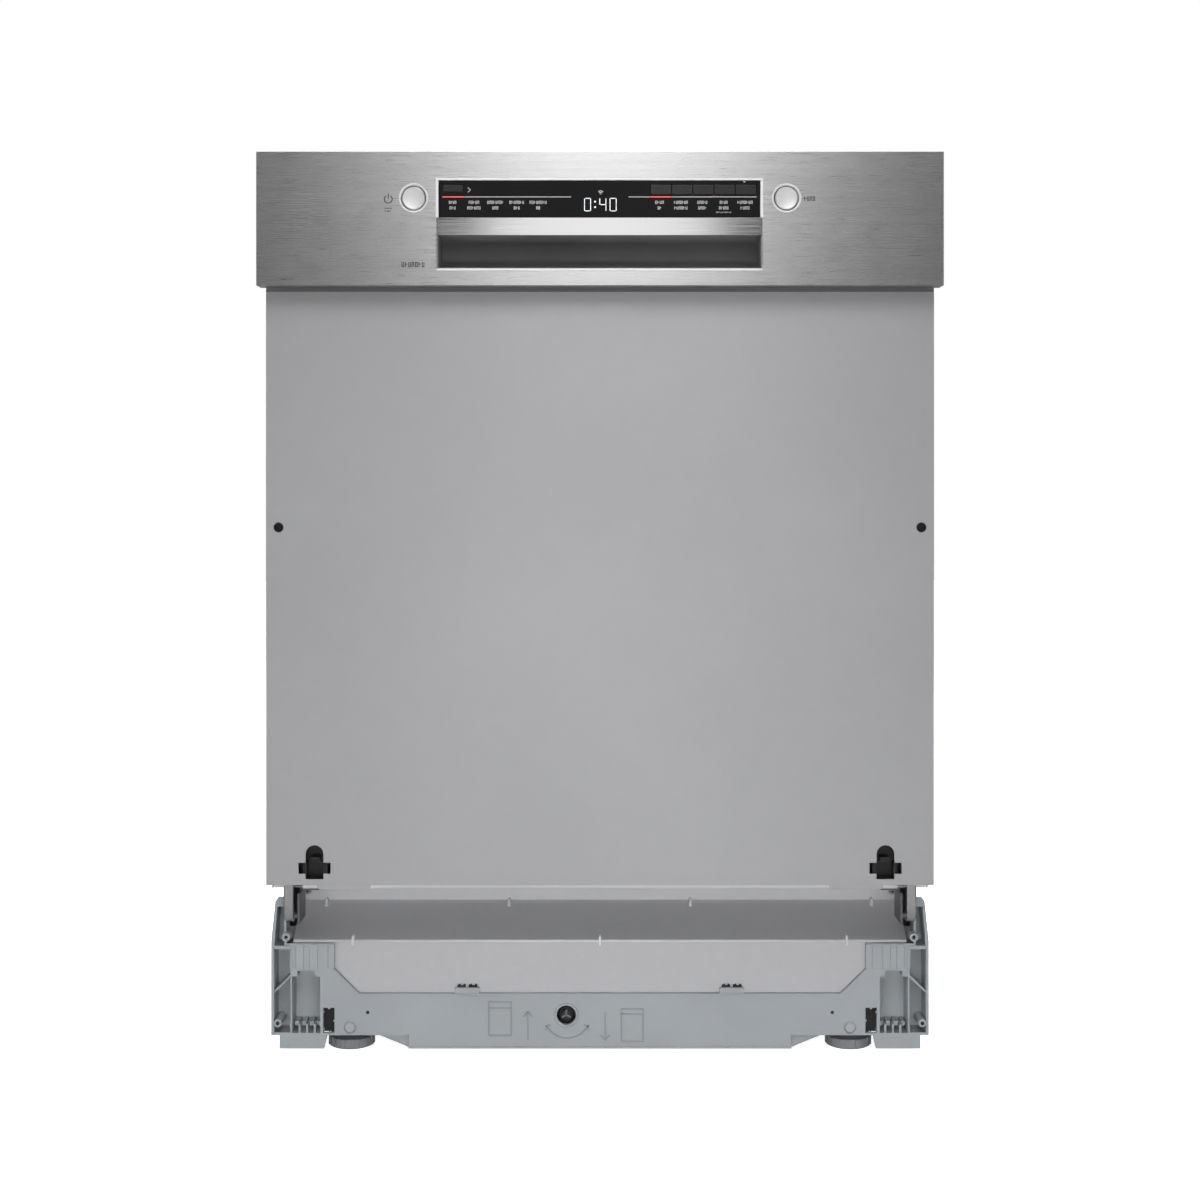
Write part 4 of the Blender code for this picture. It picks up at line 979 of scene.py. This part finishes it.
def tub():
    refined(0.0006, "tub")
    bm = bmesh.new()
    inner = 0.2838
    for s in (-1, 1):
        for z in (0.365, 0.62, 0.7):
            a, b = sorted((s * (inner + 0.0002), s * (inner - 0.002)))
            add_prism(bm, rounded(FRONT + 0.1, FRONT + 0.52, z, z + 0.007, 0.003), "x", a, b)
        edge = s * (inner - 0.034)
        ledge = [(s * inner, 0.1492), (edge, 0.1492), (edge, 0.1494), (s * inner, 0.1494)]
        add_prism(bm, ledge, "y", FRONT + 0.085, FRONT + 0.54)
    for z in (0.25, 0.56, 0.69):
        for x in (-0.25, 0.02):
            add_prism(bm, rounded(x, x + 0.23, z, z + 0.007, 0.003), "y", FRONT + 0.543, FRONT + 0.5452)
    show("tub_beads", bm, "stainless", "cabinet", bevel=0.0006)
    refined(0.0011, "tub_seal")
    refined(0.0008, "left_rail", "right_rail", "feed_pipe", "roof_shower")
    # Painted shade: black discs stand for the dark insides of the nozzle holes.
    holes = bmesh.new()
    for k in range(10):
        a = 2 * math.pi * k / 10
        spot = (0.022 * math.cos(a), ARM_AXIS + 0.022 * math.sin(a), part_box("roof_shower")[0].z)
        add_turned(holes, disc(0.0014, -0.0003, 0.0002), spot, "z", 12)
    show("shower_nozzles", holes, "black_plastic", "cabinet")


def filters():
    refined(0.0006, "sump", "filter_cylinder")
    refined(0.0007, "salt_cap")
    # Painted shade: black discs stand for the dark insides of the filter holes.
    bm = bmesh.new()
    for k in range(24):
        a = 2 * math.pi * k / 24
        for radius in (0.0245, 0.0285, 0.032):
            spot = (radius * math.cos(a + radius), ARM_AXIS + radius * math.sin(a + radius), 0.1535)
            add_turned(bm, disc(0.0012, 0, 0.0002), spot, "z", 8)
    show("filter_holes", bm, "black_plastic", "filter")


def fillet(points, radius, steps=4):
    """A polyline with its corners rounded."""
    result = [Vector(points[0])]
    for before, corner, after in zip(points, points[1:], points[2:]):
        b, c, a = Vector(before), Vector(corner), Vector(after)
        first = c + (b - c).normalized() * radius
        last = c + (a - c).normalized() * radius
        for k in range(steps + 1):
            t = k / steps
            result.append(first * (1 - t) ** 2 + c * 2 * t * (1 - t) + last * t ** 2)
    result.append(Vector(points[-1]))
    return result


def wires(name, paths, radius, body, replaces=()):
    """Round coated wires along the given polylines, as one piece."""
    curve = bpy.data.curves.new(name, "CURVE")
    curve.dimensions = "3D"
    curve.bevel_depth = radius
    curve.bevel_resolution = 2
    curve.use_fill_caps = True
    for path, loop in paths:
        spline = curve.splines.new("POLY")
        spline.points.add(len(path) - 1)
        for spot, point in zip(spline.points, path):
            spot.co = (*point, 1)
        spline.use_cyclic_u = loop
    curve.materials.append(FINISHES["rack_coating"])
    piece = bpy.data.objects.new(name, curve)
    bpy.context.collection.objects.link(piece)
    settle(piece, body, replaces)


def loop_path(x, y0, y1, z, radius):
    corners = [(x, y0, z), (x, y1, z), (-x, y1, z), (-x, y0, z)]
    flat = []
    for k in range(4):
        flat += fillet([corners[k - 1], corners[k], corners[(k + 1) % 4]], radius)[1:-1]
    return flat


def basket(body, z_floor, z_rim, y0, y1, x, tines):
    """Thick frame wires and thin cross wires of a rack."""
    inset = 0.0025
    x, y0, y1 = x - inset, y0 + inset, y1 - inset
    mid = (z_floor + z_rim) / 2
    thick = [(loop_path(x, y0, y1, z, 0.022), True) for z in (z_floor + 0.002, z_rim - 0.0025)]
    wires(f"{body}_frame", thick, 0.0024, body, [body])
    thin = [(loop_path(x - 0.001, y0 + 0.001, y1 - 0.001, mid, 0.022), True)]
    across, along, runs = 22, 15, []
    for k in range(1, across):
        px = -x + 2 * x * k / across
        runs.append([(px, y0, z_rim - 0.003), (px, y0 + 0.001, z_floor + 0.004),
                     (px, y1 - 0.001, z_floor + 0.004), (px, y1, z_rim - 0.003)])
    for k in range(1, along):
        py = y0 + (y1 - y0) * k / along
        runs.append([(-x, py, z_rim - 0.003), (-x + 0.001, py, z_floor + 0.006),
                     (x - 0.001, py, z_floor + 0.006), (x, py, z_rim - 0.003)])
    for px, py in tines:
        runs.append([(px, py, z_floor + 0.005), (px, py, z_floor + 0.06), (px + 0.01, py, z_floor + 0.078)])
    thin += [(fillet(run, 0.01), False) for run in runs]
    wires(f"{body}_wires", thin, 0.0013, body)


def racks():
    lower_tines = [(x, FRONT + 0.19 + 0.028 * k)
                   for x in (-0.19, -0.135, -0.08, -0.025) for k in range(11)]
    lower_tines += [(x, FRONT + 0.21 + 0.035 * k) for x in (0.06, 0.12, 0.18) for k in range(8)]
    low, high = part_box("lower_rack")
    basket("lower_rack", 0.19, high.z, low.y, high.y, 0.247, lower_tines)
    refined(0.0008, "left_wheel_carrier", "right_wheel_carrier")
    upper_tines = [(x, FRONT + 0.15 + 0.036 * k) for x in (-0.15, 0.15) for k in range(9)]
    low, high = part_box("upper_rack")
    basket("upper_rack", 0.435, high.z, low.y, high.y, 0.247, upper_tines)
    runners = bmesh.new()
    for s in (-1, 1):
        a, b = sorted((s * 0.2475, s * 0.2618))
        add_prism(runners, rounded(low.y + 0.001, high.y - 0.001, 0.4905, 0.4997, 0.002), "x", a, b)
    show("rack_runners", runners, "stainless", "upper_rack", bevel=0.0006)
    pipe = bmesh.new()
    profile = [(0, ARM_AXIS), (0.0055, ARM_AXIS), (0.0055, high.y - 0.01), (0.0058, high.y), (0, high.y)]
    add_turned(pipe, profile, (0, 0, 0.433), "y", 28)
    add_turned(pipe, [(0, 0.4272), (0.015, 0.4272), (0.015, 0.437), (0.01, 0.4388), (0, 0.4388)],
               (0, ARM_AXIS, 0), "z", 36)
    show("rack_pipe", pipe, "grey_plastic", "upper_rack")
    refined(0.0008, "cutlery_basket")
    low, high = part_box("cutlery_basket")
    slats = bmesh.new()
    for k in range(12):
        x0 = low.x + 0.006 + k * (high.x - low.x - 0.012) / 11
        for y in (low.y, high.y):
            add_block(slats, x0 - 0.0012, x0 + 0.0012, y - 0.0008, y + 0.0008, low.z + 0.012, high.z - 0.012)
    show("basket_slats", slats, "grey_plastic", "lower_rack", bevel=0.0003)


def wheels():
    for node in ("front_left_wheel", "front_right_wheel", "rear_left_wheel", "rear_right_wheel"):
        low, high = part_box(node)
        cx, cy, cz = (low + high) / 2
        r, half = (high.z - low.z) / 2, (high.x - low.x) / 2
        bm = bmesh.new()
        side = [(0.003, half), (0.006, half), (0.0065, half - 0.0025), (r - 0.0045, half - 0.0025),
                (r - 0.0035, half), (r - 0.0008, half), (r, half - 0.001)]
        profile = [(radius, -x) for radius, x in side] + side[::-1]
        add_turned(bm, profile, (cx, cy, cz), "x", 40, closed=True)
        for k in range(5):
            turn = Matrix.Translation((cx, cy, cz)) @ Matrix.Rotation(2 * math.pi * k / 5, 4, "X")
            arm = half - 0.001
            outline = ((-arm, -0.0009), (arm, -0.0009), (arm, 0.0009), (-arm, 0.0009))
            add_bar(bm, outline, 0.006, r - 0.0042, turn)
        show(f"{node}_shape", bm, "grey_plastic", BODY_OF[node], [node])


def spray_arms():
    for node in ("lower_spray_arm", "upper_spray_arm"):
        low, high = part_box(node)
        cy = (low.y + high.y) / 2
        reach = (high.x - low.x) / 2
        z0 = 0.17 if node == "lower_spray_arm" else 0.41
        bm = bmesh.new()
        outline = []
        for side in (1, -1):
            half = [(reach - 0.004, -0.013), (reach - 0.001, -0.006), (reach - 0.001, 0.006),
                    (reach - 0.004, 0.013), (0.045, 0.021), (0.024, 0.024), (-0.01, 0.0255)]
            outline += [(side * x, cy + side * y) for x, y in half]
        add_prism(bm, outline, "z", z0 + 0.0002, z0 + 0.0098)
        show(f"{node}_blade", bm, "grey_plastic", BODY_OF[node], bevel=0.0022, segments=4)
        hub = bmesh.new()
        add_turned(hub, [(0, low.z), (0.015, low.z), (0.0178, low.z + 0.002), (0.0178, high.z - 0.003),
                         (0.014, high.z), (0, high.z)], (0, cy, 0), "z", 40)
        show(f"{node}_hub", hub, "grey_plastic", BODY_OF[node], [node])
        # Painted shade: black discs stand for the dark insides of the nozzle holes.
        holes = bmesh.new()
        for side in (1, -1):
            for k in range(6):
                x = side * (0.05 + k * (reach - 0.065) / 5)
                spot = (x, cy + side * 0.006 * (-1) ** k, z0 + 0.0098)
                add_turned(holes, disc(0.0022, 0, 0.0003), spot, "z", 16)
        show(f"{node}_nozzles", holes, "black_plastic", BODY_OF[node])


def the_rest():
    """Every node not yet handled gets rounded edges and its finish."""
    refined(0.0008, *(node for node in frame["nodes"] if node not in DONE))


camera()
stage()
lighting()
overhead_sun()
control_area()
door()
base_front()
outer_body()
tub()
filters()
racks()
wheels()
spray_arms()
the_rest()
